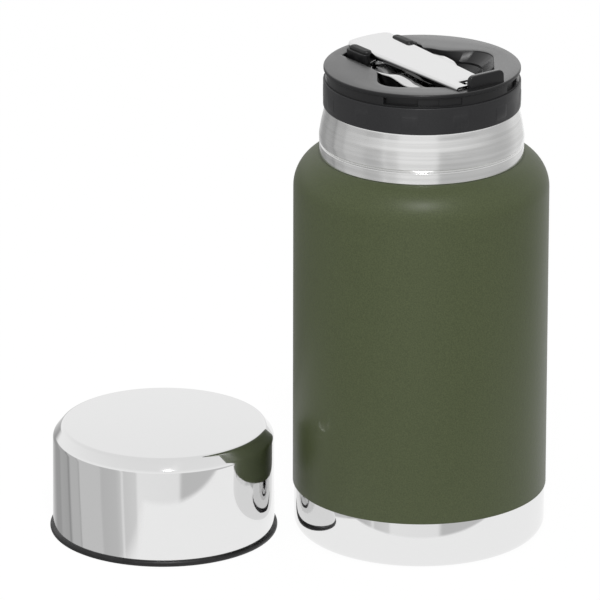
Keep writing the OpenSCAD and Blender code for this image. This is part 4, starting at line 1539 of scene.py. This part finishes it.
def set_camera():
    """Puts the camera where the photograph's was: along +Y, 19.8 degrees above the horizon."""
    e, roll = np.radians(CAMERA_ELEVATION), np.radians(CAMERA_ROLL)
    forward = np.array((0, np.cos(e), -np.sin(e)))
    right = np.array((1.0, 0, 0))
    up = np.cross(right, forward)
    right, up = np.cos(roll) * right + np.sin(roll) * up, np.cos(roll) * up - np.sin(roll) * right
    data = bpy.data.cameras.new("camera")
    data.lens = CAMERA_LENS
    data.sensor_width = 36
    data.clip_end = 20
    camera = bpy.data.objects.new("camera", data)
    bpy.context.scene.collection.objects.link(camera)
    turn = Matrix(np.column_stack([right, up, -forward]).tolist()).to_4x4()
    where = Vector(CAMERA_TARGET) - CAMERA_DISTANCE * Vector(forward)
    camera.matrix_world = Matrix.Translation(where) @ turn
    bpy.context.scene.camera = camera


# the floor's half side, the share of it that glows, and where polished steel sees it end
FLOOR_HALF = 6.0
FLOOR_GLOW = 0.97
TABLE_FRONT = -0.104
TABLE_LEFT = -0.102
TABLE_RIGHT = 0.24


def set_floor():
    """Makes the plain pale floor, which polished steel sees as a small table.

    The table ends in front of the pieces, beside the cap on a slant, and to the right of the jar.
    """
    mesh = bpy.data.meshes.new("floor")
    corners = [(x * FLOOR_HALF, y * FLOOR_HALF, 0) for x, y in ((-1, -1), (1, -1), (1, 1), (-1, 1))]
    mesh.from_pydata(corners, [], [(0, 1, 2, 3)])
    floor = bpy.data.objects.new("floor", mesh)
    bpy.context.scene.collection.objects.link(floor)
    material = bpy.data.materials.new("pale_floor")
    material.use_nodes = True
    tree = Tree(material.node_tree)
    camera, through, glossy = (tree.rays(kind) for kind in ("Camera", "Transmission", "Glossy"))
    shown = camera.math("MAXIMUM", camera, through)
    shown = shown.math("MAXIMUM", shown, glossy)
    x, y, _ = tree.parts(tree.place())
    slant = x - y * 0.25
    table = y.ramp(TABLE_FRONT - 0.006, TABLE_FRONT + 0.006)
    table = table * slant.ramp(TABLE_LEFT - 0.006, TABLE_LEFT + 0.006)
    table = table * x.ramp(TABLE_RIGHT - 0.01, TABLE_RIGHT + 0.01, 1.0, 0.0)
    white = tree.add("ShaderNodeEmission", {}, {"Color": (1, 1, 1, 1), "Strength": 1.0})
    matt = tree.add("ShaderNodeBsdfDiffuse", {}, {"Color": (0.98, 0.98, 0.98, 1)})
    clear = tree.add("ShaderNodeBsdfTransparent")
    bright = tree.add("ShaderNodeMixShader", {}, {0: shown * FLOOR_GLOW, 1: matt, 2: white})
    surface = tree.add("ShaderNodeMixShader", {}, {0: glossy * (1 - table), 1: bright, 2: clear})
    tree.add("ShaderNodeOutputMaterial", {}, {"Surface": surface})
    mesh.materials.append(material)


LAMP_AIM = (0.0, 0.0, 0.14)
HORIZON = 0.14
ROOM_WALLS = (
    (-180, 0.80), (-150, 0.36), (-138, 0.36), (-134, 0.44), (-120, 0.42), (-117, 0.30), (-113, 0.52),
    (-100, 0.52), (-99, 0.36), (-97, 0.62), (-69, 0.62), (-67, 0.54), (-50, 0.57), (-44, 0.66),
    (-43, 1.0), (-41.5, 0.67), (-28, 0.73), (-26, 0.91), (16, 0.89), (20, 0.58), (70, 0.60), (98, 0.56),
    (112, 0.60), (130, 0.80))


def add_lamp(name, where, size, power):
    """Adds a round lamp that looks at the jar's shoulder."""
    lamp = bpy.data.lights.new(name, "AREA")
    lamp.shape = "DISK"
    lamp.size = size
    lamp.energy = power
    piece = bpy.data.objects.new(name, lamp)
    bpy.context.scene.collection.objects.link(piece)
    where = Vector(where)
    turn = (where - Vector(LAMP_AIM)).to_track_quat("Z", "Y").to_matrix().to_4x4()
    piece.matrix_world = Matrix.Translation(where) @ turn
    return piece


def set_light():
    """Lights the scene: a white tent above, the room's grey walls below the horizon, and two lamps.

    ROOM_WALLS gives the room's greys by azimuth, from -180 degrees at the back over -X, 0 at the front
    and +X to 180.
    """
    world = bpy.data.worlds.new("studio")
    bpy.context.scene.world = world
    world.use_nodes = True
    tree = Tree(world.node_tree)
    x, y, z = tree.parts(tree.add("ShaderNodeTexCoord", output="Generated"))
    azimuth = x.math("ARCTAN2", x, 0 - y) * (0.5 / np.pi) + 0.5
    stops = [((a + 180) / 360, grey) for a, grey in ROOM_WALLS]
    room = tree.add("ShaderNodeValToRGB", {"stops": stops}, {0: azimuth})
    tent = tree.mix(z.ramp(0.2, 0.9), (0.98, 0.98, 0.98), (0.86, 0.86, 0.86))
    light = tree.mix(z.ramp(0.0, HORIZON), room, tent)
    seen = tree.mix(tree.rays("Camera"), light, (1.0, 1.0, 1.0))
    shade = tree.add("ShaderNodeBackground", {}, {"Color": seen, "Strength": 1.0})
    tree.add("ShaderNodeOutputWorld", {}, {"Surface": shade})
    add_lamp("soft_key", (-0.7, -0.9, 1.1), 0.8, 0.5).visible_glossy = False
    add_lamp("front_lamp", (0.0, -0.92, 1.06), 0.12, 7.5)
    bpy.context.scene.view_settings.view_transform = "Standard"


def group_of(kind, description):
    """A pointer to a property group."""
    return bpy.props.PointerProperty(type=kind, name=kind.__name__.removeprefix("FoodJar"),
                                     description=description)


class FoodJarSettings(bpy.types.PropertyGroup):
    """All the groups of the food jar's sizes and finishes."""

    vessel: group_of(FoodJarVessel, "Sizes of the vessel")
    stopper: group_of(FoodJarStopper, "Sizes of the stopper")
    spoon: group_of(FoodJarSpoon, "Sizes of the spoon")
    cap: group_of(FoodJarCap, "Sizes of the cap")
    finishes: group_of(FoodJarFinishes, "Colours and surface finishes")


OPERATORS = (FOODJAR_OT_shell, FOODJAR_OT_foot, FOODJAR_OT_neck, FOODJAR_OT_liner, FOODJAR_OT_insulation,
             FOODJAR_OT_seal, FOODJAR_OT_plug, FOODJAR_OT_collar, FOODJAR_OT_top, FOODJAR_OT_clips,
             FOODJAR_OT_handle, FOODJAR_OT_bowl, FOODJAR_OT_pin, FOODJAR_OT_cap, FOODJAR_OT_stage)


class FOODJAR_PT_panel(bpy.types.Panel):
    """Lists the operators and the sizes of the food jar"""

    bl_label = "Insulated food jar"
    bl_idname = "FOODJAR_PT_panel"
    bl_space_type = "VIEW_3D"
    bl_region_type = "UI"
    bl_category = "Food jar"

    def draw(self, context):
        for operator in OPERATORS:
            self.layout.operator(operator.bl_idname)
        for name, group in GROUPS.items():
            box = self.layout.box()
            box.label(text=name.capitalize())
            for key in group.__annotations__:
                box.prop(getattr(context.scene.food_jar, name), key)


CLASSES = (*GROUPS.values(), FoodJarSettings, *OPERATORS, FOODJAR_PT_panel)


def register():
    """Registers the classes and hangs the settings on the scene."""
    for cls in CLASSES:
        bpy.utils.register_class(cls)
    bpy.types.Scene.food_jar = bpy.props.PointerProperty(type=FoodJarSettings)


def unregister():
    """Undoes register()."""
    del bpy.types.Scene.food_jar
    for cls in reversed(CLASSES):
        bpy.utils.unregister_class(cls)


def main():
    """Builds everything in order."""
    register()
    for operator in OPERATORS:
        group, name = operator.bl_idname.split(".")
        getattr(getattr(bpy.ops, group), name)()


if __name__ == "__main__":
    main()
